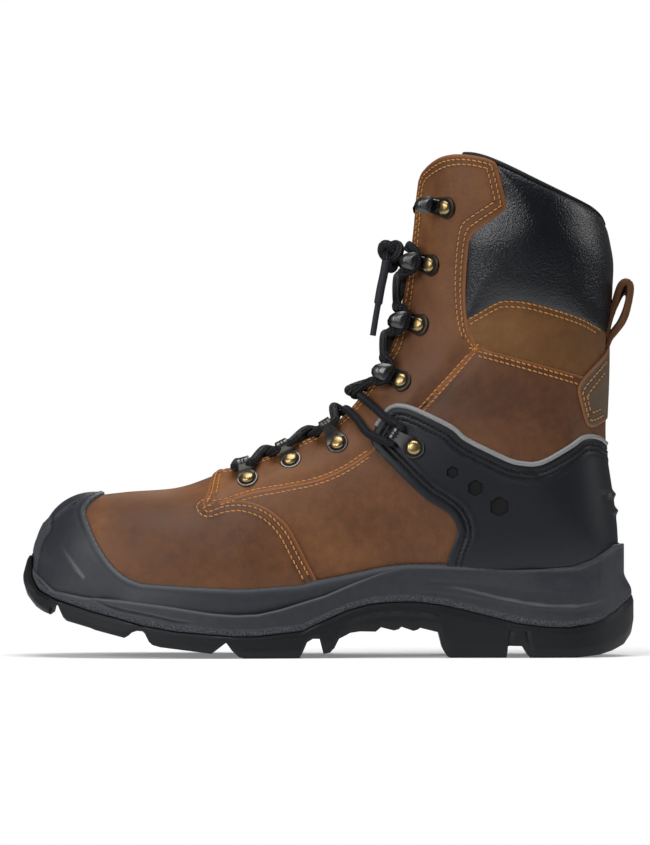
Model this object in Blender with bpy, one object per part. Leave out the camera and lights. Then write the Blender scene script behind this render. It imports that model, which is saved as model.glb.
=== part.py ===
# Insulated work boot, left foot, toe towards -X and outer side towards -Y.
# Sizes are in millimetres and become metres when a mesh is made. Z = 0 is the floor.

import math

import bmesh
import bpy
import numpy as np
from mathutils import Matrix, Vector

MM = 0.001
HALF_LENGTH = 155.4      # half of the outsole's length
GAP = 0.3                # clearance between neighbouring pieces
WALL = 2.6               # leather and lining of the upper
COLLAR_STEP = 5.0        # how far the wall steps in behind the collar pad
COLLAR_BLEND = 16.0      # distance over which that step grows
PAD_EDGE = 1.4           # collar pad above the leather line at its seams
PAD_SWELL = 2.2          # further swelling of the pad
PANEL = 1.4              # thickness of the leather panels
COUNTER = 2.2            # thickness of the moulded heel counter
PIPING = 3.0             # height of the piping above the upper
PIPING_WIDTH = 2.2
PATCH = 1.7              # thickness of the heel patch
LIP = 2.8                # midsole rim, outside the upper
TOE_GUARD = 1.5          # extra thickness of the midsole over the toe
HEEL_CUP = 1.1           # extra thickness of the midsole behind the heel
INSOLE = 7.0             # insulated footbed
INSOLE_INSET = 0.8       # insole's edge, inside the last
INSOLE_BELOW = 6.0       # its cutter starts this far under the last
UPPER_FLOOR = 0.4        # the upper's wall starts this far above the insole
TONGUE_DEPTH = 3.2       # tongue's face, inside the upper's outer surface
TONGUE = 3.4
TONGUE_HALF = 30.0
REACH = 80.0             # half width of a cutter that spans the boot
BEYOND = 166.0           # cutters end this far from the middle, past toe and heel
OVERHEAD = 300.0         # and this high, past the collar
SEAM = 0.5               # clearance between panels in the side view
RUN_STEP = 15.0          # spacing of points along a curved outline
LACE = 4.5               # lace diameter
OUTER, INNER = -1, 1     # sides of the boot, as the sign of Y

# Sections of the last, toe to collar: each is a closed curve from a top point to a low point.
# top_x, top_z, low_x, low_z: ends of the section in the side view
# outer, inner: half widths; widest: share of the section, from the top, where it is widest
# round_top, round_low: exponents of the curve, 2 is an ellipse and more is squarer
LAST = np.array([
    (-147.0, 47.5, -147.0, 41.0, -1.0, 11.0, 0.55, 2.0, 2.0),
    (-145.5, 56.0, -145.5, 36.0, 9.0, 19.0, 0.60, 2.1, 2.4),
    (-142.5, 63.5, -142.5, 32.5, 18.0, 26.0, 0.62, 2.2, 3.0),
    (-137.0, 72.0, -137.0, 29.5, 26.5, 32.5, 0.63, 2.3, 3.5),
    (-129.0, 78.8, -129.0, 27.0, 34.0, 38.0, 0.64, 2.4, 4.0),
    (-117.0, 82.3, -117.0, 24.0, 41.0, 42.5, 0.65, 2.4, 4.5),
    (-97.0, 85.0, -97.0, 21.0, 47.0, 46.5, 0.66, 2.3, 5.0),
    (-77.0, 87.8, -77.0, 19.5, 50.0, 48.5, 0.68, 2.2, 5.0),
    (-59.0, 93.8, -59.0, 19.0, 50.5, 48.0, 0.69, 2.1, 5.0),
    (-38.0, 99.0, -38.0, 20.0, 48.5, 45.0, 0.68, 2.05, 5.0),
    (-18.0, 107.5, -13.0, 24.0, 44.5, 40.5, 0.67, 2.0, 4.6),
    (-1.0, 116.5, 16.0, 30.0, 41.0, 37.0, 0.65, 2.0, 4.4),
    (11.0, 127.0, 42.0, 33.5, 39.0, 35.5, 0.64, 2.05, 4.6),
    (20.0, 139.5, 66.0, 34.5, 39.0, 36.5, 0.62, 2.1, 4.6),
    (26.0, 149.5, 90.0, 35.0, 39.0, 37.5, 0.61, 2.2, 4.6),
    (30.5, 157.5, 112.0, 35.0, 39.0, 38.0, 0.60, 2.3, 4.2),
    (34.0, 165.0, 131.0, 36.5, 39.0, 38.0, 0.59, 2.3, 3.4),
    (36.8, 172.5, 143.0, 43.5, 39.0, 38.0, 0.57, 2.4, 2.8),
    (38.8, 180.5, 146.3, 58.0, 38.5, 38.0, 0.55, 2.4, 2.5),
    (40.4, 190.0, 145.2, 75.0, 38.5, 38.0, 0.54, 2.4, 2.35),
    (41.6, 200.5, 142.2, 92.0, 38.5, 38.0, 0.53, 2.5, 2.3),
    (42.6, 211.5, 139.6, 109.0, 39.0, 38.5, 0.52, 2.5, 2.2),
    (43.6, 223.0, 139.8, 134.0, 41.0, 40.5, 0.51, 2.5, 2.2),
    (45.6, 247.0, 140.2, 186.0, 45.0, 44.0, 0.50, 2.5, 2.2),
    (47.4, 272.0, 140.6, 236.0, 46.0, 45.0, 0.50, 2.5, 2.2),
])
SOLE_SECTIONS = 18       # sections whose low point lies on the sole
PLACE_STEP = 0.25        # step of the search between sections
SLOPE_REACH = 1.5        # half of the span over which a surface's slope is read
TOP_X, TOP_Z, LOW_X, LOW_Z, WIDE_OUT, WIDE_IN, WIDEST, ROUND_TOP, ROUND_LOW = range(9)
# Places around half a section, as shares of its length from the top to the low point.
SHARES = (0.0, 0.105, 0.22, 0.335, 0.45, 0.565, 0.68, 0.81, 1.0)

# Plan of the outsole: x, outer half width, inner half width.
PLAN = np.array([
    (-150.0, 17.0, 27.0),
    (-140.0, 32.0, 38.0),
    (-125.0, 43.0, 46.0),
    (-105.0, 51.5, 51.5),
    (-80.0, 56.0, 54.0),
    (-58.0, 57.0, 54.0),
    (-35.0, 55.0, 50.5),
    (-5.0, 48.5, 43.0),
    (25.0, 43.5, 39.0),
    (55.0, 41.0, 38.5),
    (85.0, 40.5, 39.5),
    (110.0, 40.5, 39.5),
    (130.0, 36.5, 36.0),
    (145.0, 25.0, 25.0),
])
TOE_SHIFT = 5.0          # the toe's tip lies towards the inner side

# Side view of the sole, x and z. The ground line holds toe spring, arch, saw ribs and heel.
GROUND = np.array([
    (-155.4, 37.0), (-153.0, 30.5), (-148.0, 25.0), (-142.0, 21.5), (-135.0, 18.7), (-119.5, 14.2),
    (-104.5, 10.3), (-86.5, 6.4), (-60.0, 2.3), (-46.0, 0.0), (-9.0, 0.0), (-2.0, 1.9), (2.0, 3.5),
    (5.0, 8.0), (8.0, 12.0), (13.0, 13.3), (24.5, 13.3), (26.5, 15.7), (34.0, 13.3), (36.5, 15.7),
    (44.0, 13.2), (46.5, 15.7), (55.0, 12.8), (57.5, 12.4), (59.0, 4.0), (62.0, 0.0), (126.0, 0.0),
    (136.0, 1.7), (143.0, 3.8), (149.5, 6.8), (154.0, 11.3), (155.4, 15.5),
])
OUTSOLE_TOP = np.array([
    (-155.4, 52.0), (-153.0, 46.0), (-149.0, 37.0), (-143.5, 31.7), (-136.5, 27.5), (-121.5, 23.3),
    (-107.0, 19.5), (-95.0, 16.2), (-78.0, 13.1), (-60.0, 11.6), (-48.0, 10.7), (-36.5, 10.7),
    (-25.0, 12.1), (-13.7, 14.3), (-2.0, 18.7), (9.7, 23.8), (21.4, 26.9), (33.1, 27.9), (44.8, 27.9),
    (56.5, 26.4), (75.9, 21.9), (95.7, 17.0), (109.5, 15.2), (122.7, 14.7), (136.0, 17.2),
    (145.9, 22.8), (155.4, 31.0),
])
LEDGE = np.array([
    (-155.4, 55.0), (-150.0, 50.0), (-140.0, 42.0), (-125.0, 36.0), (-107.0, 31.2), (-83.0, 26.4),
    (-60.0, 22.8), (-48.0, 21.9), (-36.5, 22.3), (-25.0, 24.8), (-15.0, 27.9), (-2.0, 31.4),
    (20.0, 37.0), (44.0, 39.5), (66.0, 38.5), (96.0, 36.0), (120.0, 36.0), (140.0, 38.0),
    (155.4, 41.0),
])
# Side view of the midsole's upper edge, from the guard's rear edge down and along to the heel.
GUARD_EDGE = [(-112.0, 87.0), (-124.5, 80.0), (-124.0, 73.0), (-121.5, 62.0), (-116.0, 52.0),
              (-110.5, 45.0), (-104.0, 40.8)]
RIM = [(-104.0, 40.8), (-89.5, 38.1), (-71.5, 36.5), (-54.5, 35.5), (-42.5, 35.2), (-25.0, 36.5),
       (-8.0, 39.1), (9.5, 42.7), (27.0, 46.2), (38.5, 47.5), (50.5, 47.7), (66.0, 47.5), (76.0, 45.7),
       (95.5, 43.9), (116.0, 43.2), (126.0, 44.7), (136.0, 49.3), (144.0, 54.6), (149.0, 58.2),
       (166.0, 58.2)]

# Grooves across the tread: x, width, height of the groove's roof.
GROOVES = ((-138.5, 5.0, 26.0), (-97.5, 10.0, 13.3), (-54.0, 9.0, 6.8), (-8.5, 8.0, 9.7), (96.0, 10.0, 5.6))
CHANNELS = ((-20.0, -14.0), (14.0, 20.0))   # grooves along the tread, low and high y
CHANNEL_RUNS = (("forefoot", -126.0, -13.0), ("heel", 68.0, 132.0))
CHANNEL_DEPTH = 4.2
BELOW_FLOOR = -5.0       # cutters of the tread start here
STATION_GAP = 1.6        # least distance between stations of a sole loft
# Rings of the sole lofts: stand-out from the plan, share of the height.
OUTSOLE_RINGS = ((-1.6, 0.0), (0.0, 0.3), (0.0, 0.85), (-0.8, 1.0))
MIDSOLE_RINGS = ((-1.8, 0.0), (-1.0, 0.35), (-1.0, 0.9), (-1.8, 1.0))
TOE_BLEND = (112.0, 132.0)    # the guard thickens between these distances ahead of the middle
HEEL_BLEND = (118.0, 142.0)   # the heel cup thickens between these distances behind the middle
BAND_OVERLAP = 3.0       # the midsole's band starts this far above the outsole

# Side view of the panels, x and z.
TOPLINE = [(40.0, 236.0), (45.0, 240.0), (47.0, 246.0), (52.5, 252.5), (58.0, 255.6), (67.0, 257.6),
           (78.0, 254.5), (86.5, 252.0), (107.5, 242.2), (128.3, 232.5), (134.4, 229.0), (138.5, 224.6),
           (141.0, 218.0), (160.0, 212.0)]
PAD_BELOW_TOPLINE = 2.4
FACING_FRONT = [(-56.0, 112.0), (-58.5, 95.0), (-60.5, 88.5), (-61.8, 77.3)]
FACING_LOW = [(-61.8, 77.3), (-55.0, 79.3), (15.0, 102.2), (44.0, 125.6), (72.5, 157.0)]
FACING_REAR = [(75.5, 157.3), (71.6, 163.0), (69.9, 181.8), (70.7, 198.2), (72.0, 208.7), (73.5, 213.8),
               (77.8, 217.3), (88.5, 224.7), (90.0, 227.5), (87.5, 240.0), (85.0, 250.3)]
PANEL_TOP = [(72.0, 174.3), (84.0, 180.6), (90.0, 182.1), (103.0, 180.6), (124.0, 174.0), (141.0, 165.6),
             (160.0, 160.0)]
PANEL_CORNER = (127.0, 143.9)   # rear low corner of the ankle panel
PATCH_EDGE = [(160.0, 156.0), (142.0, 156.0), (139.5, 155.0), (127.0, 142.0), (124.7, 137.3),
              (125.3, 131.7), (128.3, 119.5), (129.8, 117.0), (133.0, 116.5), (141.0, 122.0), (160.0, 126.0)]
COUNTER_TOP = [(21.4, 109.3), (24.5, 116.5), (30.0, 125.0), (36.2, 127.7), (44.6, 125.6), (62.0, 117.0),
               (69.0, 111.4), (82.0, 104.8), (92.0, 100.2), (98.3, 98.9), (104.0, 98.7), (110.0, 100.7),
               (121.0, 107.3), (127.0, 111.6), (131.4, 112.5), (136.0, 111.4), (140.0, 108.8),
               (160.0, 106.0)]
COUNTER_FRONT = [(21.4, 109.3), (23.5, 105.3), (34.2, 94.1), (49.4, 79.8), (56.0, 75.7), (62.0, 71.2),
                 (64.5, 65.0), (62.7, 57.4), (59.5, 48.0)]
VAMP_REAR = [(-61.8, 77.3), (-54.5, 77.8), (-45.3, 78.8), (-40.2, 78.3), (-32.5, 75.7), (-27.0, 72.2),
             (-21.3, 67.1), (-16.7, 59.4), (-6.6, 39.6)]
TONGUE_OUTLINE = [(-66.0, 100.0), (-60.0, 86.0), (-20.0, 95.0), (16.0, 110.0), (44.0, 148.0), (60.0, 190.0),
                  (66.0, 220.0), (68.0, 254.0), (30.0, 254.0), (20.0, 180.0), (-20.0, 120.0)]
FACING_AHEAD = [(18.0, 230.0), (12.0, 180.0), (-20.0, 135.0)]   # ahead of the shaft's front line
FACING_BELOW_TOPLINE = 0.8
FACING_MIDDLE = 3.0      # facings keep this far from the boot's middle
# Throat, from its front end to above the collar: x, z of the last's front line and half width.
THROAT = ((-57.0, 94.4, 5.0), (-54.0, 95.5, 11.0), (-48.0, 97.0, 14.0), (-18.0, 107.5, 15.0),
          (11.0, 127.0, 15.0), (30.5, 157.5, 16.0), (40.4, 190.0, 18.0), (44.6, 235.0, 20.0),
          (47.6, 276.0, 21.0))
THROAT_OUT, THROAT_IN = 30.0, -14.0   # depth of the throat's cutter, out of and into the last

# Lace fittings from the top down: rivet x and z, then the tip of the hook or loop.
HOOKS = ((58.3, 229.3, 47.9, 229.7), (50.7, 199.8, 40.4, 201.6), (45.0, 169.8, 34.9, 171.3),
         (36.0, 141.0, 26.4, 145.5))
LOOPS = ((43.0, 105.8, 30.6, 114.0), (4.6, 108.3, -2.3, 121.0), (-19.7, 99.7, -26.0, 108.7),
         (-42.0, 92.3, -43.6, 102.0))
RIVET_RADIUS = 4.0
RIVET_HEIGHT = 2.0
RIVET_SIDES = 6
RIVET_RINGS = ((1.0, 0.0), (0.75, 0.8))   # shares of radius and height
STRIP = 1.0              # sheet metal of hooks and loops
HOOK_TAIL = 5.0          # plate behind the rivet
HOOK_REACH = 13.0        # rivet to the front of the bend
HOOK_BEND = 3.7          # outside radius of the bend
HOOK_LIP = 5.6           # rivet to the free edge of the hook
HOOK_WIDTH = 8.0
LOOP_RADIUS = 3.4
LOOP_LEAST = 11.4        # least distance from rivet to loop end
LOOP_WIDTH = 7.0
LACE_CLEAR = 6.0         # distance left free between a crossing and the fitting's end
LACE_LIFT = 1.7          # lace above the facings
LACE_END_SHARE = 0.2     # share of the step between fittings left free at each end of a crossing
LACE_STOP_RISE = 4.0     # a lace's place beside a fitting, above the middle of rivet and tip
LACE_LEAN = 0.8          # how far a strand's lift turns to the side at the last's full width
LACE_POINTS = 4          # points along a strand
LACE_BAR_AHEAD = 0.2     # the lowest bar lies ahead of its loops, in sections
KNOT = (31.0, -27.0, 204.0)
KNOT_SIZE = (13.0, 11.0, 14.0)
LACE_END = ((28.2, -29.0, 196.0), (27.0, -30.0, 189.0), (25.6, -30.5, 180.0), (24.0, -30.5, 171.0),
            (22.2, -30.5, 162.8))
PULL_LOOP = [(143.2, 163.5), (143.6, 170.0), (145.0, 180.0), (146.8, 188.3), (148.8, 191.4), (151.6, 192.8),
             (154.2, 191.4), (155.2, 188.3), (154.4, 182.0), (153.4, 176.0), (151.6, 170.5), (148.2, 165.8),
             (145.2, 162.0), (143.6, 161.4)]
PULL_HOLE = [(146.0, 169.0), (147.4, 178.6), (149.0, 186.6), (150.4, 189.4), (151.9, 189.6), (152.6, 187.8),
             (151.9, 182.0), (150.9, 176.6), (149.4, 171.8), (147.0, 168.2)]
PULL_HALF = 9.0          # half width of the pull loop's strap

# Look of each kind of piece, by the start of its name: colour, roughness, metallic.
LOOKS = {
    "outsole": ((0.017, 0.018, 0.020), 0.62, 0.0),
    "midsole": ((0.047, 0.050, 0.056), 0.58, 0.0),
    "insole": ((0.030, 0.030, 0.032), 0.90, 0.0),
    "tongue": ((0.013, 0.014, 0.017), 0.70, 0.0),
    "upper": ((0.125, 0.058, 0.026), 0.55, 0.0),
    "vamp": ((0.150, 0.068, 0.028), 0.52, 0.0),
    "facing": ((0.150, 0.068, 0.028), 0.52, 0.0),
    "ankle_panel": ((0.190, 0.092, 0.032), 0.55, 0.0),
    "collar_pad": ((0.010, 0.011, 0.015), 0.38, 0.0),
    "heel_counter": ((0.016, 0.016, 0.018), 0.55, 0.0),
    "counter_piping": ((0.380, 0.390, 0.410), 0.45, 0.0),
    "heel_patch": ((0.150, 0.068, 0.028), 0.52, 0.0),
    "pull_loop": ((0.016, 0.016, 0.018), 0.75, 0.0),
    "hook": ((0.180, 0.175, 0.165), 0.35, 1.0),
    "loop": ((0.420, 0.410, 0.400), 0.30, 1.0),
    "rivet": ((0.300, 0.175, 0.060), 0.35, 1.0),
    "lace": ((0.012, 0.012, 0.013), 0.80, 0.0),
}


def new_object(name, verts, faces, collection):
    mesh = bpy.data.meshes.new(name)
    mesh.from_pydata([tuple(float(v) * MM for v in p) for p in verts], [], faces)
    piece = bpy.data.objects.new(name, mesh)
    collection.objects.link(piece)
    return piece


def make_material(name, colour, roughness, metallic=0.0):
    material = bpy.data.materials.new(name)
    material.use_nodes = True
    shader = material.node_tree.nodes["Principled BSDF"]
    shader.inputs["Base Color"].default_value = (*colour, 1.0)
    shader.inputs["Roughness"].default_value = roughness
    shader.inputs["Metallic"].default_value = metallic
    return material


def hide_cutter(piece):
    piece.hide_render = True
    piece.display_type = "WIRE"


def show_piece(piece):
    piece.hide_render = False
    piece.display_type = "TEXTURED"


def boolean(piece, cutter, operation="DIFFERENCE"):
    modifier = piece.modifiers.new(operation.title() + " " + cutter.name, "BOOLEAN")
    modifier.operation = operation
    modifier.solver = "EXACT"
    modifier.object = cutter


def loft(name, rings, collection):
    # Closed solid through rings of equal length, with a fan of faces on each end.
    count = len(rings[0])
    verts = [p for ring in rings for p in ring]
    faces = []
    for row in range(len(rings) - 1):
        for k in range(count):
            a = row * count + k
            b = row * count + (k + 1) % count
            # The diagonals mirror each other on the two sides, and are the same on every form.
            if k < count // 2:
                faces += [(a, b, b + count), (a, b + count, a + count)]
            else:
                faces += [(a, b, a + count), (b, b + count, a + count)]
    first = len(verts)
    verts.append(np.mean(rings[0], axis=0))
    verts.append(np.mean(rings[-1], axis=0))
    last_row = (len(rings) - 1) * count
    for k in range(count):
        faces.append(((k + 1) % count, k, first))
        faces.append((last_row + k, last_row + (k + 1) % count, first + 1))
    piece = new_object(name, verts, faces, collection)
    face_out(piece.data)
    return piece


def face_out(mesh):
    bm = bmesh.new()
    bm.from_mesh(mesh)
    bmesh.ops.recalc_face_normals(bm, faces=bm.faces)
    bm.to_mesh(mesh)
    bm.free()


def smooth_run(points, step=RUN_STEP):
    # Catmull-Rom curve through points of the side view, with a point about every step.
    p = np.array([points[0], *points, points[-1]], dtype=float)
    run = []
    for k in range(1, len(p) - 2):
        pieces = max(1, round(float(np.linalg.norm(p[k + 1] - p[k])) / step))
        for t in np.arange(pieces) / pieces:
            run.append(0.5 * (2 * p[k] + (p[k + 1] - p[k - 1]) * t
                              + (2 * p[k - 1] - 5 * p[k] + 4 * p[k + 1] - p[k + 2]) * t ** 2
                              + (3 * p[k] - p[k - 1] - 3 * p[k + 1] + p[k + 2]) * t ** 3))
    run.append(p[-2])
    return [tuple(q) for q in run]


def shifted(points, dx, dz):
    return [(x + dx, z + dz) for x, z in points]


def moved_out(points, distance):
    # The same run moved sideways, to the left of its direction when the distance is positive.
    p = np.array(points)
    along = np.gradient(p, axis=0)
    along /= np.linalg.norm(along, axis=1)[:, None]
    side = np.stack([-along[:, 1], along[:, 0]], axis=1)
    return [tuple(q) for q in p + side * distance]


def flat_piece(name, outlines, half_depth, place, collection):
    # Closed outlines, filled and extruded both ways; an outline inside another one is a hole.
    curve = bpy.data.curves.new(name, "CURVE")
    curve.dimensions = "2D"
    curve.fill_mode = "BOTH"
    curve.extrude = half_depth * MM
    for outline in outlines:
        line = curve.splines.new("POLY")
        line.points.add(len(outline) - 1)
        for point, (u, v) in zip(line.points, outline):
            point.co = (u * MM, v * MM, 0.0, 1.0)
        line.use_cyclic_u = True
    drawn = bpy.data.objects.new(name + " outline", curve)
    collection.objects.link(drawn)
    return solid_from_curve(name, drawn, place, collection)


def prism(name, outline, low_y, high_y, collection):
    # Side-view outline as a cutter across the boot.
    place = Matrix.Translation((0.0, (low_y + high_y) / 2 * MM, 0.0)) @ Matrix.Rotation(math.pi / 2, 4, "X")
    piece = flat_piece(name, [outline], (high_y - low_y) / 2, place, collection)
    hide_cutter(piece)
    return piece


def solid_from_curve(name, drawn, place, collection):
    drawn.matrix_world = place
    bpy.context.view_layer.update()
    mesh = bpy.data.meshes.new_from_object(drawn.evaluated_get(bpy.context.evaluated_depsgraph_get()))
    bm = bmesh.new()
    bm.from_mesh(mesh)
    bmesh.ops.remove_doubles(bm, verts=bm.verts, dist=0.000001)
    bmesh.ops.recalc_face_normals(bm, faces=bm.faces)
    bm.to_mesh(mesh)
    bm.free()
    bpy.data.objects.remove(drawn)
    piece = bpy.data.objects.new(name, mesh)
    piece.matrix_world = place
    collection.objects.link(piece)
    return piece


def half_section(row):
    # Height share and width share along half a section, evenly spread by the chosen shares.
    turn = np.linspace(0.0, math.pi, 241)
    upper = turn <= math.pi / 2
    power = np.where(upper, 2 / row[ROUND_TOP], 2 / row[ROUND_LOW])
    wide = np.abs(np.sin(turn)) ** power
    high = np.abs(np.cos(turn)) ** power
    down = np.where(upper, row[WIDEST] * (1 - high), row[WIDEST] + (1 - row[WIDEST]) * high)
    length = math.hypot(row[LOW_X] - row[TOP_X], row[LOW_Z] - row[TOP_Z])
    half_width = (row[WIDE_OUT] + row[WIDE_IN]) / 2
    steps = np.hypot(np.diff(down) * length, np.diff(wide) * half_width)
    run = np.concatenate([[0.0], np.cumsum(steps)])
    at = np.array(SHARES) * run[-1]
    return np.interp(at, run, down), np.interp(at, run, wide)


def last_grid():
    rings = []
    for row in LAST:
        down, wide = half_section(row)
        middle = (row[WIDE_IN] - row[WIDE_OUT]) / 2
        half_width = (row[WIDE_IN] + row[WIDE_OUT]) / 2
        x = row[TOP_X] + (row[LOW_X] - row[TOP_X]) * down
        z = row[TOP_Z] + (row[LOW_Z] - row[TOP_Z]) * down
        outer = np.stack([x, middle - half_width * wide, z], axis=1)
        inner = np.stack([x, middle + half_width * wide, z], axis=1)
        rings.append(np.concatenate([outer, inner[-2:0:-1]]))
    return np.array(rings)


def grid_normals(grid):
    along = np.gradient(grid, axis=0)
    around = np.roll(grid, -1, axis=1) - np.roll(grid, 1, axis=1)
    normal = np.cross(around, along)
    normal /= np.linalg.norm(normal, axis=2)[:, :, None]
    outward = grid - grid.mean(axis=1)[:, None, :]
    return normal * np.sign((normal * outward).sum(axis=2))[:, :, None]


def edge_distance(outline, x, z):
    # Distance from points of the side view to an outline, zero outside it.
    inside = np.zeros(x.shape, dtype=bool)
    nearest = np.full(x.shape, np.inf)
    for (ax, az), (bx, bz) in zip(outline, outline[1:] + outline[:1]):
        if az != bz:
            crosses = ((az > z) != (bz > z)) & (x < (bx - ax) * (z - az) / (bz - az) + ax)
            inside ^= crosses
        length = (bx - ax) ** 2 + (bz - az) ** 2
        if length == 0:
            continue
        share = np.clip(((x - ax) * (bx - ax) + (z - az) * (bz - az)) / length, 0, 1)
        nearest = np.minimum(nearest, np.hypot(x - ax - share * (bx - ax), z - az - share * (bz - az)))
    return np.where(inside, nearest, 0.0)


def ease(value, start, end):
    t = np.clip((value - start) / (end - start), 0.0, 1.0)
    return t * t * (3 - 2 * t)


class Last:
    # The last's surface: its grid of points and normals, and forms moved out from it.
    def __init__(self, collar_outline):
        self.grid = last_grid()
        self.normal = grid_normals(self.grid)
        self.x = self.grid[:, :, 0]
        self.z = self.grid[:, :, 2]
        # The step ends before the open top, so the edge distance ignores the outline's far sides.
        self.collar = ease(edge_distance(collar_outline, self.x, self.z), 1.0, COLLAR_BLEND)

    def form(self, name, depth, collection, level=False):
        push = self.normal * np.broadcast_to(depth, self.x.shape)[:, :, None]
        if level:
            push = push * np.array([1.0, 1.0, 0.0])
        piece = loft(name, list(self.grid + push), collection)
        hide_cutter(piece)
        return piece

    def wall(self, depth):
        # Depth of a surface that follows the step behind the collar pad.
        return depth - COLLAR_STEP * self.collar


def section_at(place):
    k = int(np.clip(math.floor(place), 0, len(LAST) - 2))
    return LAST[k] + (LAST[k + 1] - LAST[k]) * (place - k)


def side_of_line(place, x, z):
    row = section_at(place)
    return ((row[LOW_X] - row[TOP_X]) * (z - row[TOP_Z])
            - (row[LOW_Z] - row[TOP_Z]) * (x - row[TOP_X]))


def section_place(x, z):
    # Place among the sections, as a row number with a fraction, whose line passes through x, z.
    places = np.arange(0.0, len(LAST) - 1.0, PLACE_STEP)
    values = [side_of_line(p, x, z) for p in places]
    k = next(i for i in range(len(places) - 1) if values[i] * values[i + 1] <= 0)
    return places[k] + PLACE_STEP * values[k] / (values[k] - values[k + 1])


def surface_point(x, z, side):
    # Point of the last's surface seen at x, z from the given side.
    row = section_at(section_place(x, z))
    length = math.hypot(row[LOW_X] - row[TOP_X], row[LOW_Z] - row[TOP_Z])
    down = ((x - row[TOP_X]) * (row[LOW_X] - row[TOP_X])
            + (z - row[TOP_Z]) * (row[LOW_Z] - row[TOP_Z])) / length ** 2
    if down < row[WIDEST]:
        reach = (row[WIDEST] - down) / row[WIDEST]
        power = row[ROUND_TOP]
    else:
        reach = (down - row[WIDEST]) / (1 - row[WIDEST])
        power = row[ROUND_LOW]
    wide = max(0.0, 1 - min(1.0, reach) ** power) ** (1 / power)
    middle = (row[WIDE_IN] - row[WIDE_OUT]) / 2
    half_width = (row[WIDE_IN] + row[WIDE_OUT]) / 2
    return Vector((x, middle + side * half_width * wide, z))


def surface_frame(x, z, tip_x, tip_z, side):
    # Point, direction towards the tip, and outward normal.
    reach = SLOPE_REACH
    along = surface_point(x + reach, z, side) - surface_point(x - reach, z, side)
    up = surface_point(x, z + reach, side) - surface_point(x, z - reach, side)
    normal = along.cross(up).normalized()
    if normal.y * side < 0:
        normal = -normal
    point = surface_point(x, z, side)
    forward = along * (tip_x - x) + up * (tip_z - z)
    forward = (forward - normal * forward.dot(normal)).normalized()
    return point, forward, normal


def plan_curve(stand_out, xs):
    # Half widths of the sole's plan at the stations, as outer and inner y.
    turn = np.arccos(np.clip(-PLAN[:, 0] / HALF_LENGTH, -1, 1)) / math.pi
    loop_turn = np.concatenate([[0.0], turn, [1.0], 2 - turn[::-1], [2.0]])
    loop_y = np.concatenate([[TOE_SHIFT], -PLAN[:, 1], [0.0], PLAN[::-1, 2], [TOE_SHIFT]])
    wrapped_turn = np.concatenate([loop_turn[-4:-1] - 2, loop_turn, loop_turn[1:4] + 2])
    wrapped_y = np.concatenate([loop_y[-4:-1], loop_y, loop_y[1:4]])
    at = np.arccos(np.clip(-xs / HALF_LENGTH, -1, 1)) / math.pi
    outer = cubic(wrapped_turn, wrapped_y, at)
    inner = cubic(wrapped_turn, wrapped_y, 2 - at)
    middle = (outer + inner) / 2
    half_width = (inner - outer) / 2
    grown = half_width * (1 + stand_out / np.maximum(half_width, 25.0))
    return middle - grown, middle + grown, xs * (1 + stand_out / HALF_LENGTH)


def cubic(knots, values, at):
    # Natural cubic spline.
    count = len(knots)
    gaps = np.diff(knots)
    slopes = np.diff(values) / gaps
    matrix = np.eye(count)
    right = np.zeros(count)
    for i in range(1, count - 1):
        matrix[i, i - 1:i + 2] = gaps[i - 1], 2 * (gaps[i - 1] + gaps[i]), gaps[i]
        right[i] = 6 * (slopes[i] - slopes[i - 1])
    bend = np.linalg.solve(matrix, right)
    k = np.clip(np.searchsorted(knots, at, side="right") - 1, 0, count - 2)
    before = knots[k + 1] - at
    after = at - knots[k]
    gap = gaps[k]
    return ((bend[k] * before ** 3 + bend[k + 1] * after ** 3) / (6 * gap)
            + (values[k] / gap - bend[k] * gap / 6) * before
            + (values[k + 1] / gap - bend[k + 1] * gap / 6) * after)


def sole_stations(*tables):
    # Stations at each break of the first table, and at those of the others that are not close to one.
    xs = list(tables[0][:, 0])
    for table in tables[1:]:
        xs += [x for x in table[:, 0] if min(abs(x - other) for other in xs) > STATION_GAP]
    return np.array(sorted(xs))


def sole_loft(name, rings, xs, collection):
    # Rings from low to high: stand-out and height curve. Strips across the boot close both ends.
    count = len(xs)
    verts = []
    for stand_out, height in rings:
        outer, inner, at = plan_curve(stand_out, xs)
        z = height(xs)
        verts += list(zip(at, outer, z)) + list(zip(at, inner, z))
    faces = []
    ring_size = 2 * count
    for row in range(len(rings)):
        for k in range(count - 1):
            a = row * ring_size + k
            b = a + count
            if row in (0, len(rings) - 1):
                faces.append((a, a + 1, b + 1, b))
            if row < len(rings) - 1:
                faces.append((a, a + 1, a + 1 + ring_size, a + ring_size))
                faces.append((b, b + 1, b + 1 + ring_size, b + ring_size))
    piece = new_object(name, verts, faces, collection)
    bm = bmesh.new()
    bm.from_mesh(piece.data)
    bmesh.ops.remove_doubles(bm, verts=bm.verts, dist=0.00001)
    bmesh.ops.dissolve_degenerate(bm, edges=bm.edges, dist=0.00001)
    bmesh.ops.recalc_face_normals(bm, faces=bm.faces)
    bm.to_mesh(piece.data)
    bm.free()
    return piece


def line_height(table, lift=0.0):
    return lambda xs: np.interp(xs, table[:, 0], table[:, 1]) + lift


def between(low, high, share):
    return lambda xs: low(xs) + (high(xs) - low(xs)) * share


def box(name, low, high, collection):
    bpy.ops.mesh.primitive_cube_add(size=1.0)
    piece = bpy.context.object
    piece.name = name
    for owner in piece.users_collection:
        owner.objects.unlink(piece)
    collection.objects.link(piece)
    low = Vector(low) * MM
    high = Vector(high) * MM
    for vertex in piece.data.vertices:
        vertex.co = [low[k] + (vertex.co[k] + 0.5) * (high[k] - low[k]) for k in range(3)]
    hide_cutter(piece)
    return piece


def ring_heights(rings, low, high):
    return [(stand_out, between(low, high, share)) for stand_out, share in rings]


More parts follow.
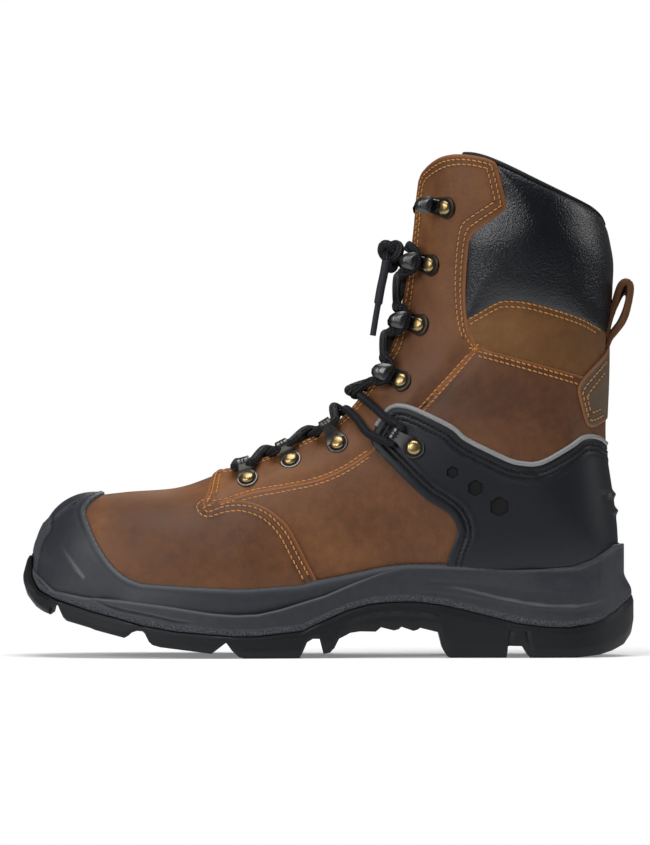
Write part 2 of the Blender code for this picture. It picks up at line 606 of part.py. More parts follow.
def make_outsole(parts, cutters):
    ground = line_height(GROUND)
    top = line_height(OUTSOLE_TOP)
    outsole = sole_loft("outsole", ring_heights(OUTSOLE_RINGS, ground, top),
                        sole_stations(OUTSOLE_TOP, GROUND), parts)
    for k, (x, width, roof) in enumerate(GROOVES):
        low = (x - width / 2, -REACH, BELOW_FLOOR)
        high = (x + width / 2, REACH, roof)
        groove = box(f"tread groove {k + 1}", low, high, cutters)
        boolean(outsole, groove)
    for k, (low_y, high_y) in enumerate(CHANNELS):
        for name, start, end in CHANNEL_RUNS:
            roof = [(x, float(ground(x)) + CHANNEL_DEPTH) for x in np.linspace(start, end, 6)]
            outline = roof + [(end, BELOW_FLOOR), (start, BELOW_FLOOR)]
            channel = prism(f"{name} channel {k + 1}", outline, low_y, high_y, cutters)
            boolean(outsole, channel)
    return outsole


def make_midsole(parts, cutters, last, cup):
    rings = ring_heights(MIDSOLE_RINGS, line_height(OUTSOLE_TOP, GAP), line_height(LEDGE))
    midsole = sole_loft("midsole", rings, OUTSOLE_TOP[:, 0], parts)
    depth = LIP + TOE_GUARD * ease(-last.x, *TOE_BLEND) + HEEL_CUP * ease(last.x, *HEEL_BLEND)
    band = last.form("midsole band", depth, cutters)
    low = shifted([tuple(p) for p in OUTSOLE_TOP[::-1]], 0.0, BAND_OVERLAP)
    outline = smooth_run(GUARD_EDGE) + smooth_run(RIM)[1:] + [(BEYOND, low[0][1])] + low
    outline += [(-BEYOND, low[-1][1]), (-BEYOND, GUARD_EDGE[0][1])]
    keep = prism("midsole band outline", outline, -REACH, REACH, cutters)
    boolean(band, keep, "INTERSECT")
    boolean(midsole, band, "UNION")
    boolean(midsole, cup)
    return midsole


def make_upper(parts, cutters, last, throat):
    upper = last.form("upper", last.wall(0.0), parts)
    show_piece(upper)
    inside = last.form("upper inside", last.wall(-WALL), cutters)
    boolean(upper, inside)
    low = shifted(sole_line(), 0.0, INSOLE + UPPER_FLOOR)
    low += [(BEYOND, low[-1][1]), (BEYOND, BELOW_FLOOR), (-BEYOND, BELOW_FLOOR), (-BEYOND, low[0][1])]
    below = prism("below the upper", low, -REACH, REACH, cutters)
    front_x, front_z = TOPLINE[0]
    top = smooth_run(TOPLINE) + [(BEYOND, OVERHEAD), (front_x / 2, OVERHEAD), (front_x / 2, front_z)]
    above = prism("above the topline", top, -REACH, REACH, cutters)
    for cutter in (below, above, throat):
        boolean(upper, cutter)
    return upper


def make_insole(parts, cutters, last):
    insole = last.form("insole", -INSOLE_INSET, parts, level=True)
    show_piece(insole)
    outline = shifted(sole_line(), 0.0, INSOLE) + shifted(sole_line()[::-1], 0.0, -INSOLE_BELOW)
    keep = prism("insole outline", outline, -REACH, REACH, cutters)
    boolean(insole, keep, "INTERSECT")
    return insole


def sole_line():
    return [(x, z) for x, z in LAST[:SOLE_SECTIONS, (LOW_X, LOW_Z)]]


def make_throat(cutters):
    rings = []
    for k, (x, z, half) in enumerate(THROAT):
        before = THROAT[max(0, k - 1)]
        after = THROAT[min(len(THROAT) - 1, k + 1)]
        along = Vector((after[0] - before[0], after[1] - before[1])).normalized()
        out = Vector((-along.y, along.x))
        rings.append([(x + out.x * d, y, z + out.y * d) for d, y in
                      ((THROAT_OUT, -half), (THROAT_OUT, half), (THROAT_IN, half), (THROAT_IN, -half))])
    throat = loft("throat opening", np.array(rings), cutters)
    hide_cutter(throat)
    return throat


def make_panel(name, parts, cutters, form, under, outline, low_y=-REACH, high_y=REACH, cuts=()):
    # A panel between two forms of the upper, within a side-view outline.
    panel = bpy.data.objects.new(name, form.data.copy())
    parts.objects.link(panel)
    keep = prism(name + " outline", outline, low_y, high_y, cutters)
    boolean(panel, keep, "INTERSECT")
    boolean(panel, under)
    for cutter in cuts:
        boolean(panel, cutter)
    return panel


def throat_point(place, y, lift):
    # Point over the front of the last at a section place and a distance across, lifted clear of it.
    row = section_at(place)
    middle = (row[WIDE_IN] - row[WIDE_OUT]) / 2
    half_width = (row[WIDE_IN] + row[WIDE_OUT]) / 2
    wide = min(1.0, abs(y - middle) / half_width)
    down = row[WIDEST] * (1 - (1 - wide ** row[ROUND_TOP]) ** (1 / row[ROUND_TOP]))
    top = Vector((row[TOP_X], y, row[TOP_Z]))
    low = Vector((row[LOW_X], y, row[LOW_Z]))
    before = section_at(max(0.0, place - 0.5))
    after = section_at(place + 0.5)
    along = Vector((after[TOP_X] - before[TOP_X], 0.0, after[TOP_Z] - before[TOP_Z])).normalized()
    out = Vector((-along.z, 0.0, along.x))
    lean = LACE_LEAN * wide * wide
    out = (out * (1 - lean) + Vector((0.0, math.copysign(lean, y), 0.0))).normalized()
    return top + (low - top) * down + out * lift


def frame_matrix(point, forward, normal, lift):
    across = forward.cross(normal)
    turn = Matrix((forward, normal, across)).transposed().to_4x4()
    return Matrix.Translation((point + normal * lift) * MM) @ turn


def arc(centre, radius, start, end, steps):
    angles = np.radians(np.linspace(start, end, steps))
    return [(centre[0] + radius * math.cos(a), centre[1] + radius * math.sin(a)) for a in angles]


def make_hook(name, place, parts):
    bend = (HOOK_REACH - HOOK_BEND, HOOK_BEND)
    outer = arc(bend, HOOK_BEND, -90, 90, 5)
    inner = arc(bend, HOOK_BEND - STRIP, 90, -90, 5)
    outline = [(-HOOK_TAIL, 0.0)] + outer + [(HOOK_LIP, 2 * HOOK_BEND), (HOOK_LIP, 2 * HOOK_BEND - STRIP)]
    outline += inner + [(-HOOK_TAIL, STRIP)]
    return flat_piece(name, [outline], HOOK_WIDTH / 2, place, parts)


def loop_reach(x, z, tip_x, tip_z):
    return max(LOOP_LEAST, math.hypot(tip_x - x, tip_z - z))


def make_loop(name, reach, place, parts):
    centre = (reach - LOOP_RADIUS, LOOP_RADIUS)
    outer = arc(centre, LOOP_RADIUS, -90, 200, 8)
    inner = arc(centre, LOOP_RADIUS - STRIP, 200, -90, 8)
    outline = [(-HOOK_TAIL, 0.0)] + outer + inner + [(-HOOK_TAIL, STRIP)]
    return flat_piece(name, [outline], LOOP_WIDTH / 2, place, parts)


def make_rivet(name, place, parts):
    rings = []
    for radius, height in RIVET_RINGS:
        turn = np.arange(RIVET_SIDES) * 2 * math.pi / RIVET_SIDES
        rings.append([(RIVET_RADIUS * radius * math.cos(a), RIVET_HEIGHT * height,
                       RIVET_RADIUS * radius * math.sin(a)) for a in turn])
    piece = loft(name, np.array(rings), parts)
    piece.matrix_world = place
    return piece


def make_fittings(parts):
    made = {}
    for side, side_name in ((OUTER, "outer"), (INNER, "inner")):
        for kind, table in (("hook", HOOKS), ("loop", LOOPS)):
            for k, (x, z, tip_x, tip_z) in enumerate(table):
                on_counter = kind == "loop" and k == 0
                lift = GAP + (GAP + COUNTER if on_counter else GAP + PANEL)
                point, forward, normal = surface_frame(x, z, tip_x, tip_z, side)
                name = f"{kind}_{side_name}_{k + 1}"
                place = frame_matrix(point, forward, normal, lift)
                if kind == "hook":
                    made[name] = make_hook(name, place, parts)
                else:
                    made[name] = make_loop(name, loop_reach(x, z, tip_x, tip_z), place, parts)
                number = k + 1 + (len(HOOKS) if kind == "loop" else 0)
                rivet_name = f"rivet_{side_name}_{number}"
                rivet_place = frame_matrix(point, forward, normal, lift + STRIP + GAP)
                made[rivet_name] = make_rivet(rivet_name, rivet_place, parts)
    return made


def tube(name, path, diameter, collection, resolution=1):
    curve = bpy.data.curves.new(name, "CURVE")
    curve.dimensions = "3D"
    curve.bevel_depth = diameter / 2 * MM
    curve.bevel_resolution = resolution
    curve.use_fill_caps = True
    line = curve.splines.new("POLY")
    line.points.add(len(path) - 1)
    for point, place in zip(line.points, path):
        point.co = (*(Vector(place) * MM), 1.0)
    drawn = bpy.data.objects.new(name + " path", curve)
    collection.objects.link(drawn)
    return solid_from_curve(name, drawn, Matrix.Identity(4), collection)


def make_laces(parts, cutters):
    # From the lowest loop up to the second hook: section place, and free distance from the middle.
    made = {}
    stops = []
    halves = []
    for row in LOOPS[::-1] + HOOKS[:0:-1]:
        x, z, tip_x, tip_z = row
        reach = loop_reach(*row) if row in LOOPS else HOOK_REACH
        free = []
        for side in (OUTER, INNER):
            point, forward, normal = surface_frame(x, z, tip_x, tip_z, side)
            free.append(abs((point + forward * reach).y))
        stops.append(section_place(tip_x, min(tip_z, (z + tip_z) / 2 + LACE_STOP_RISE)))
        halves.append(min(free) - LACE_CLEAR)
    lift = GAP + PANEL + GAP + LACE / 2 + LACE_LIFT
    shares = np.linspace(-1.0, 1.0, LACE_POINTS)
    low_bar = [throat_point(stops[0] - LACE_BAR_AHEAD, halves[0] * t, lift) for t in shares]
    made["lace_1"] = tube("lace_1", low_bar, LACE, parts)
    for k in range(len(stops) - 1):
        step = stops[k + 1] - stops[k]
        paths = []
        for side in (OUTER, INNER):
            path = []
            for t in shares:
                half = halves[k] if t < 0 else halves[k + 1]
                place = stops[k] + step * (0.5 + (0.5 - LACE_END_SHARE) * t)
                path.append(throat_point(place, side * half * t, lift))
            paths.append(path)
        name = f"lace_{k + 2}"
        made[name] = tube(name, paths[0], LACE, parts)
        other = tube(name + " second strand", paths[1], LACE, cutters)
        hide_cutter(other)
        boolean(made[name], other, "UNION")
    bpy.ops.mesh.primitive_uv_sphere_add(segments=10, ring_count=7, radius=1.0)
    knot = bpy.context.object
    knot.name = "lace_knot"
    for owner in knot.users_collection:
        owner.objects.unlink(knot)
    parts.objects.link(knot)
    size = Vector(KNOT_SIZE) / 2
    for vertex in knot.data.vertices:
        vertex.co = [(KNOT[i] + vertex.co[i] * size[i]) * MM for i in range(3)]
    made["lace_knot"] = knot
    made["lace_end"] = tube("lace_end", LACE_END, LACE, parts, 2)
    return made


def step_behind_pad():
    # The wall steps in behind the pad, and the step runs on past the topline and round the back.
    rear_x, rear_z = PANEL_TOP[-1]
    past = [(FACING_REAR[-1][0], OVERHEAD), (OVERHEAD, OVERHEAD), (OVERHEAD, rear_z)]
    return FACING_REAR[2:] + past + PANEL_TOP[:0:-1]


def make_panels(parts, cutters, last, under, throat):
    made = {}

    def panel(name, depth, outline, low_y=-REACH, high_y=REACH, cuts=()):
        face = last.form(name + " face", depth, cutters)
        made[name] = make_panel(name, parts, cutters, face, under, outline, low_y, high_y, cuts)

    leather = last.wall(GAP + PANEL)
    rim = smooth_run(RIM)
    counter_top = smooth_run(COUNTER_TOP)
    counter_front = smooth_run(COUNTER_FRONT)
    facing_rear = smooth_run(FACING_REAR)
    panel_top = smooth_run(PANEL_TOP)
    counter_area = (moved_out(counter_top, SEAM) + [(BEYOND, RIM[-1][1]), COUNTER_FRONT[-1]]
                    + moved_out(counter_front, -SEAM)[::-1])
    clearance = prism("counter clearance", counter_area, -REACH, REACH, cutters)

    vamp_low = [p for p in shifted(rim, 0.0, SEAM) if GUARD_EDGE[-1][0] < p[0] < VAMP_REAR[-1][0]]
    guard_rear = shifted(smooth_run(GUARD_EDGE), SEAM, 0.0)[::-1]
    vamp = shifted(smooth_run(FACING_FRONT), -SEAM, 0.0) + smooth_run(VAMP_REAR)[1:] + vamp_low[::-1]
    vamp += guard_rear + [(GUARD_EDGE[0][0], FACING_FRONT[0][1])]
    panel("vamp", leather, vamp)

    facing_top = shifted(smooth_run(TOPLINE[:8]), 0.0, -FACING_BELOW_TOPLINE)[::-1]
    facing = smooth_run(FACING_FRONT) + smooth_run(FACING_LOW)[1:] + facing_rear + facing_top + FACING_AHEAD
    panel("facing_outer", leather, facing, -REACH, -FACING_MIDDLE, (throat, clearance))
    panel("facing_inner", leather, facing, FACING_MIDDLE, REACH, (throat, clearance))

    panel_front = [p for p in shifted(facing_rear, SEAM, 0.0) if p[1] < PANEL_TOP[0][1]]
    patch_side = shifted(PATCH_EDGE[:3], -SEAM, SEAM)
    panel("ankle_panel", leather, panel_front[::-1] + [PANEL_CORNER] + patch_side[::-1]
          + shifted(panel_top, SEAM, -GAP)[::-1])

    pad_top = shifted(TOPLINE[7:-1], 0.0, -PAD_BELOW_TOPLINE)
    pad = smooth_run(FACING_REAR[2:] + pad_top[:1]) + smooth_run(pad_top)[1:] + panel_top[::-1]
    panel("collar_pad", PAD_EDGE + PAD_SWELL * last.collar, shifted(pad, SEAM, GAP))

    counter_low = [p for p in shifted(rim, 0.0, SEAM) if p[0] > COUNTER_FRONT[-1][0]]
    panel("heel_counter", last.wall(GAP + COUNTER), moved_out(counter_top, -PIPING_WIDTH - GAP)
          + counter_low[::-1] + counter_front[::-1][:-1])
    piping = counter_top[1:] + moved_out(counter_top, -PIPING_WIDTH)[:0:-1]
    panel("counter_piping", last.wall(GAP + PIPING), piping)
    panel("heel_patch", last.wall(GAP + PATCH), smooth_run(PATCH_EDGE))
    return made


def make_tongue(parts, cutters, last):
    face = last.form("tongue face", -TONGUE_DEPTH, cutters)
    back = last.form("tongue back", -TONGUE_DEPTH - TONGUE, cutters)
    return make_panel("tongue", parts, cutters, face, back, TONGUE_OUTLINE, -TONGUE_HALF, TONGUE_HALF)


def paint(pieces):
    # A material for each piece, named for it, with the look of its kind.
    for name, piece in pieces.items():
        look = next(value for key, value in LOOKS.items() if name.startswith(key))
        piece.data.materials.append(make_material(name, *look))


def main():
    for piece in list(bpy.data.objects):
        bpy.data.objects.remove(piece)
    parts = bpy.data.collections.new("work boot")
    cutters = bpy.data.collections.new("cutters")
    for collection in (parts, cutters):
        bpy.context.scene.collection.children.link(collection)
    last = Last(step_behind_pad())
    throat = make_throat(cutters)
    under = last.form("panel underside", last.wall(GAP), cutters)
    pieces = {
        "outsole": make_outsole(parts, cutters),
        "midsole": make_midsole(parts, cutters, last, under),
        "upper": make_upper(parts, cutters, last, throat),
        "insole": make_insole(parts, cutters, last),
        "tongue": make_tongue(parts, cutters, last),
    }
    pieces.update(make_panels(parts, cutters, last, under, throat))
    side_view = Matrix.Rotation(math.pi / 2, 4, "X")
    pieces["pull_loop"] = flat_piece("pull_loop", [PULL_LOOP, PULL_HOLE], PULL_HALF, side_view, parts)
    pieces.update(make_fittings(parts))
    pieces.update(make_laces(parts, cutters))
    paint(pieces)
    bpy.context.view_layer.update()


main()
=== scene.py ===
import math
import bmesh
import bpy
import numpy as np
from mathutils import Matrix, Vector, geometry
from mathutils.bvhtree import BVHTree
from mathutils.kdtree import KDTree


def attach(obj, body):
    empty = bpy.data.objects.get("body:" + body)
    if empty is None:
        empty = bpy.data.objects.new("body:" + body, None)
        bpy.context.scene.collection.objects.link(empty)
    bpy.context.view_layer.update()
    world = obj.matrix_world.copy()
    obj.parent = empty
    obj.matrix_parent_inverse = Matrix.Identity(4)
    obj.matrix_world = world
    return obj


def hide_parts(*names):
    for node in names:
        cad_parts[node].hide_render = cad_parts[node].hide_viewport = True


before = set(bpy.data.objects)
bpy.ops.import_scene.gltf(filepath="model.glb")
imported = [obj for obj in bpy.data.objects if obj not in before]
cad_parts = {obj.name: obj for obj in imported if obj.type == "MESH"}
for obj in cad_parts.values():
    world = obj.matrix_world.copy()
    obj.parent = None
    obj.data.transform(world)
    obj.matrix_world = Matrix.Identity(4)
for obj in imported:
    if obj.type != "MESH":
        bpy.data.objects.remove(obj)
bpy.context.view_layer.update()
mm = 0.001
outer, inner = -1, 1
print("frame loaded")


photo = {"middle": 329.9, "ground": 656.8, "pixel": 0.509}  # pixels, pixels, millimetres a pixel


def fromPhoto(points):  # photo pixels to side-view millimetres
    return [((px - photo["middle"]) * photo["pixel"], (photo["ground"] - py) * photo["pixel"]) for px, py in points]


def ease(value, start, end):
    t = np.clip((np.asarray(value, float) - start) / (end - start), 0.0, 1.0)
    return t * t * (3 - 2 * t)


def bell(distance, width, power=2):  # 1 on a line, fading to both sides
    return np.exp(-(distance / width) ** power)


def dome(share):  # a quarter circle, 0 to 1
    return np.sqrt(np.clip(1 - (1 - np.clip(share, 0, 1)) ** 2, 0, 1))


def unit(vectors):
    return vectors / np.maximum(np.linalg.norm(vectors, axis=-1), 1e-9)[..., None]


def runOf(path):  # length of a path up to each of its points
    return np.concatenate([[0.0], np.cumsum(np.linalg.norm(np.diff(path, axis=0), axis=1))])


def pointAt(values, run, at):
    return np.stack([np.interp(at, run, values[:, k]) for k in range(values.shape[1])], axis=-1)


def level(points):  # flat points as points in space
    return [(u, v, 0.0) for u, v in points]


def smoothRun(points, step=1.0):  # a smooth run through points, with a point about every step
    p = np.array([points[0], *points, points[-1]], float)
    run = []
    for k in range(1, len(p) - 2):
        count = max(1, round(float(np.linalg.norm(p[k + 1] - p[k])) / step))
        for t in np.arange(count) / count:
            run.append(0.5 * (2 * p[k] + (p[k + 1] - p[k - 1]) * t
                              + (2 * p[k - 1] - 5 * p[k] + 4 * p[k + 1] - p[k + 2]) * t ** 2
                              + (3 * p[k] - p[k - 1] - 3 * p[k + 1] + p[k + 2]) * t ** 3))
    run.append(p[-2])
    return np.array(run)


def evenRun(points, step):  # the same line with even steps
    p = np.asarray(points, float)
    run = runOf(p)
    count = max(2, int(round(run[-1] / step)) + 1)
    at = np.linspace(0.0, run[-1], count)
    return pointAt(p, run, at)


def movedSideways(points, distance):  # to the left of its direction when positive
    p = np.asarray(points, float)
    along = unit(np.gradient(p, axis=0))
    return p + np.stack([-along[:, 1], along[:, 0]], axis=1) * distance


def spline(knots, values):  # natural cubic
    knots, values = np.asarray(knots, float), np.asarray(values, float)
    count, gaps = len(knots), np.diff(knots)
    slopes = np.diff(values, axis=0) / gaps[:, None]
    matrix, right = np.eye(count), np.zeros_like(values)
    for i in range(1, count - 1):
        matrix[i, i - 1:i + 2] = gaps[i - 1], 2 * (gaps[i - 1] + gaps[i]), gaps[i]
        right[i] = 6 * (slopes[i] - slopes[i - 1])
    bend = np.linalg.solve(matrix, right)

    def at(q):
        q = np.atleast_1d(np.asarray(q, float))
        k = np.clip(np.searchsorted(knots, q, side="right") - 1, 0, count - 2)
        gap, before, after = gaps[k][:, None], (knots[k + 1] - q)[:, None], (q - knots[k])[:, None]
        return ((bend[k] * before ** 3 + bend[k + 1] * after ** 3) / (6 * gap)
                + (values[k] / gap - bend[k] * gap / 6) * before
                + (values[k + 1] / gap - bend[k + 1] * gap / 6) * after)
    return at


# Sections of the last, toe to collar: top x and z, low x and z, outer and inner half width,
# share where it is widest, roundness above and below
last = {
    "rows": np.array([
        (-147.9, 45, -147.9, 43.6, -5, 6.4, 0.55, 2, 2),
        (-147, 47.5, -147, 41, -1, 11, 0.55, 2, 2),
        (-145.5, 56, -145.5, 36, 9, 19, 0.60, 2.1, 2.4),
        (-142.5, 63.5, -142.5, 32.5, 18, 26, 0.62, 2.2, 3),
        (-137, 72, -137, 29.5, 26.5, 32.5, 0.63, 2.3, 3.5),
        (-129, 77.6, -129, 27, 34, 38, 0.64, 2.4, 4),
        (-117, 80.4, -117, 24, 41, 42.5, 0.65, 2.4, 4.5),
        (-97, 82.5, -97, 21, 47, 46.5, 0.66, 2.3, 5),
        (-77, 84.4, -77, 19.5, 50, 48.5, 0.68, 2.2, 5),
        (-59, 90.3, -59, 19, 50.5, 48, 0.69, 2.1, 5),
        (-38, 98.6, -38, 20, 48.5, 45, 0.68, 2.05, 5),
        (-18, 107.5, -13, 24, 44.5, 40.5, 0.67, 2, 4.6),
        (-1, 116.5, 16, 30, 41, 37, 0.65, 2, 4.4),
        (11, 127, 42, 33.5, 39, 35.5, 0.64, 2.05, 4.6),
        (20, 139.5, 66, 34.5, 39, 36.5, 0.62, 2.1, 4.6),
        (26, 149.5, 90, 35, 39, 37.5, 0.61, 2.2, 4.6),
        (30.5, 157.5, 112, 35, 39, 38, 0.60, 2.3, 4.2),
        (33, 165, 131, 36.5, 39, 38, 0.59, 2.3, 3.4),
        (35, 172.5, 142.4, 43.5, 39, 38, 0.57, 2.4, 2.8),
        (36.6, 180.5, 145.2, 58, 38.5, 38, 0.55, 2.4, 2.5),
        (38.6, 190, 143.7, 75, 38.5, 38, 0.54, 2.4, 2.35),
        (40.6, 200.5, 141.2, 92, 38.5, 38, 0.53, 2.5, 2.3),
        (42.2, 211.5, 139.2, 109, 39, 38.5, 0.52, 2.5, 2.2),
        (43.6, 223, 139.8, 134, 41, 40.5, 0.51, 2.5, 2.2),
        (45.6, 247, 140.2, 186, 45, 44, 0.50, 2.5, 2.2),
        (47.4, 272, 140.6, 236, 46, 45, 0.50, 2.5, 2.2),
    ]),
    "sections": 480,
    "around": 150,
}
topX, topZ, lowX, lowZ, wideOut, wideIn, widest, roundTop, roundLow = range(9)
rows = last["rows"]
travel = np.concatenate([[0.0], np.cumsum((np.hypot(np.diff(rows[:, topX]), np.diff(rows[:, topZ]))
                                           + np.hypot(np.diff(rows[:, lowX]), np.diff(rows[:, lowZ]))) / 2)])
denseS = np.linspace(0.0, travel[-1], last["sections"])
denseRows = spline(travel, rows)(denseS)
half = last["around"]
gridDown = np.zeros((len(denseS), half + 1))
gridPos = np.zeros((len(denseS), 2 * half + 1, 3))
for i, row in enumerate(denseRows):
    turn = np.linspace(0.0, math.pi, 361)
    upperHalf = turn <= math.pi / 2
    power = np.where(upperHalf, 2 / row[roundTop], 2 / row[roundLow])
    wide, high = np.abs(np.sin(turn)) ** power, np.abs(np.cos(turn)) ** power
    down = np.where(upperHalf, row[widest] * (1 - high), row[widest] + (1 - row[widest]) * high)
    halfWidth, middle = (row[wideOut] + row[wideIn]) / 2, (row[wideIn] - row[wideOut]) / 2
    length = math.hypot(row[lowX] - row[topX], row[lowZ] - row[topZ])
    run = np.concatenate([[0.0], np.cumsum(np.hypot(np.diff(down) * length, np.diff(wide) * halfWidth))])
    at = np.linspace(0.0, run[-1], half + 1)
    d, w = np.interp(at, run, down), np.interp(at, run, wide)
    gridDown[i] = d
    x, z = row[topX] + (row[lowX] - row[topX]) * d, row[topZ] + (row[lowZ] - row[topZ]) * d
    gridPos[i, half::-1] = np.stack([x, middle - halfWidth * w, z], axis=1)
    gridPos[i, half:] = np.stack([x, middle + halfWidth * w, z], axis=1)
aroundStep = np.empty_like(gridPos)
aroundStep[:, 1:-1] = gridPos[:, 2:] - gridPos[:, :-2]
aroundStep[:, 0] = aroundStep[:, -1] = gridPos[:, 1] - gridPos[:, -2]
gridNormal = unit(np.cross(np.gradient(gridPos, axis=0), aroundStep))
fromMiddle = gridPos - gridPos.mean(axis=1)[:, None, :]
gridNormal *= np.where((gridNormal * fromMiddle).sum(axis=2) < 0, -1.0, 1.0)[:, :, None]
gridNormal[0] = (-1.0, 0.0, 0.0)


def onLast(s, t):  # place along and around to point and normal; t is 0 at the top, -1 outer low, 1 inner low
    i = np.clip(np.asarray(s, float) / travel[-1] * (len(denseS) - 1), 0, len(denseS) - 1.001)
    j = np.clip((np.asarray(t, float) + 1) * half, 0, 2 * half - 0.001)
    i0, j0 = i.astype(int), j.astype(int)
    fi, fj = (i - i0)[:, None], (j - j0)[:, None]
    found = []
    for grid in (gridPos, gridNormal):
        found.append((grid[i0, j0] * (1 - fj) + grid[i0, j0 + 1] * fj) * (1 - fi)
                     + (grid[i0 + 1, j0] * (1 - fj) + grid[i0 + 1, j0 + 1] * fj) * fi)
    return found[0], unit(found[1])


def seen(points):  # side-view millimetres to place along and share around, 0 at the top and 1 at the low line
    found = []
    for part in np.array_split(np.asarray(points, float), max(1, len(points) // 400)):
        x, z = part[:, :1], part[:, 1:]
        r = denseRows
        side = (r[:, lowX] - r[:, topX]) * (z - r[:, topZ]) - (r[:, lowZ] - r[:, topZ]) * (x - r[:, topX])
        i = np.clip(np.argmax(side <= 0, axis=1), 1, None)
        i = np.where((side > 0).all(axis=1), len(denseS) - 1, i)
        k = np.arange(len(part))
        share = np.clip(side[k, i - 1] / (side[k, i - 1] - side[k, i] + 1e-12), 0, 1)
        s = denseS[i - 1] + (denseS[i] - denseS[i - 1]) * share
        row = r[i - 1] + (r[i] - r[i - 1]) * share[:, None]
        dx, dz = row[:, lowX] - row[:, topX], row[:, lowZ] - row[:, topZ]
        d = np.clip(((part[:, 0] - row[:, topX]) * dx + (part[:, 1] - row[:, topZ]) * dz) / (dx * dx + dz * dz), 0, 1)
        t = [np.interp(d[n], gridDown[i[n]], np.linspace(0, 1, half + 1)) for n in range(len(part))]
        found.append(np.stack([s, t], axis=1))
    return np.concatenate(found)


def across(s, y):  # share around at which the front of a section is y from the middle
    i = np.clip((np.asarray(s) / travel[-1] * (len(denseS) - 1)).astype(int), 0, len(denseS) - 1)
    found = []
    for k, yy in zip(i, np.broadcast_to(y, i.shape)):
        reach = np.abs(gridPos[k, half::-1, 1])
        widestAt = int(np.argmax(reach))
        found.append(np.interp(yy, reach[:widestAt + 1], np.arange(widestAt + 1) / half))
    return np.array(found)


print("last ready", round(travel[-1]))


def newMesh(name, verts, faces, smooth=True):
    mesh = bpy.data.meshes.new(name)
    mesh.from_pydata((np.asarray(verts, float) * mm).tolist(), [], [tuple(int(i) for i in f) for f in faces])
    mesh.polygons.foreach_set("use_smooth", [smooth] * len(mesh.polygons))
    piece = bpy.data.objects.new(name, mesh)
    bpy.context.scene.collection.objects.link(piece)
    return piece


def reworked(piece, change):  # runs a change on the piece's mesh
    bm = bmesh.new()
    bm.from_mesh(piece.data)
    change(bm)
    bm.to_mesh(piece.data)
    bm.free()
    return piece


def weld(piece, distance=0.00002):
    def change(bm):
        bmesh.ops.remove_doubles(bm, verts=bm.verts, dist=distance)
        bmesh.ops.dissolve_degenerate(bm, edges=bm.edges, dist=0.000002)
        bmesh.ops.recalc_face_normals(bm, faces=bm.faces)
        for face in bm.faces:
            face.smooth = True
    return reworked(piece, change)


def sharpen(piece, degrees=34.0):
    def change(bm):
        for edge in bm.edges:
            edge.smooth = len(edge.link_faces) != 2 or edge.calc_face_angle(0.0) < math.radians(degrees)
    return reworked(piece, change)


def pointsOf(piece):  # in millimetres
    return np.array([v.co / mm for v in piece.data.vertices])


def treeOf(piece):
    return BVHTree.FromPolygons([v.co / mm for v in piece.data.vertices],
                                [tuple(f.vertices) for f in piece.data.polygons])


def attribute(piece, name, values):
    layer = piece.data.attributes.new(name, "FLOAT", "POINT")
    layer.data.foreach_set("value", np.asarray(values, np.float32))


def pointTree(points):
    tree = KDTree(len(points))
    for k, p in enumerate(points):
        tree.insert(p, k)
    tree.balance()
    return tree


def nearest(points, line):  # distance to a line of close points, and the place along it
    tree = pointTree(line)
    found = [tree.find(p) for p in points]
    return np.array([f[2] for f in found]), np.array([f[1] for f in found])


def inside(points, loop):  # true for points in a closed outline
    x, z = points[:, 0], points[:, 1]
    odd = np.zeros(len(points), bool)
    for (ax, az), (bx, bz) in zip(loop, np.roll(loop, -1, axis=0)):
        if az != bz:
            odd ^= ((az > z) != (bz > z)) & (x < (bx - ax) * (z - az) / (bz - az) + ax)
    return odd


girth = 132.0  # half girth that the flat pattern is drawn with


def flat(points, side, back=False):  # side-view points to the flat pattern of one side
    st = seen(points)
    v = (1 - st[:, 1]) * -side if back else st[:, 1] * side
    return np.stack([st[:, 0], v * girth], axis=1)


def unflat(uv, back):  # flat pattern to place along and around
    g = uv[:, 1] / girth
    return uv[:, 0], (np.where(g >= 0, g - 1, g + 1) if back else g)


def placed(uv, back=False):  # flat pattern to points and normals
    return onLast(*unflat(uv, back))


def raised(uv, lift, back=False):
    pos, normal = placed(uv, back)
    return pos + normal * lift


def bothSides(line, back):  # closed pattern outline from the outer side's open line, mirrored on the inner side
    one = flat(line, outer, back)
    off = np.nonzero(np.abs(one[:, 1]) > 0.05)[0]
    one = one[max(off[0] - 1, 0):off[-1] + 2]
    one[[0, -1], 1] = 0.0
    other = one[::-1] * (1, -1)
    return np.concatenate([one, other[1:-1]])


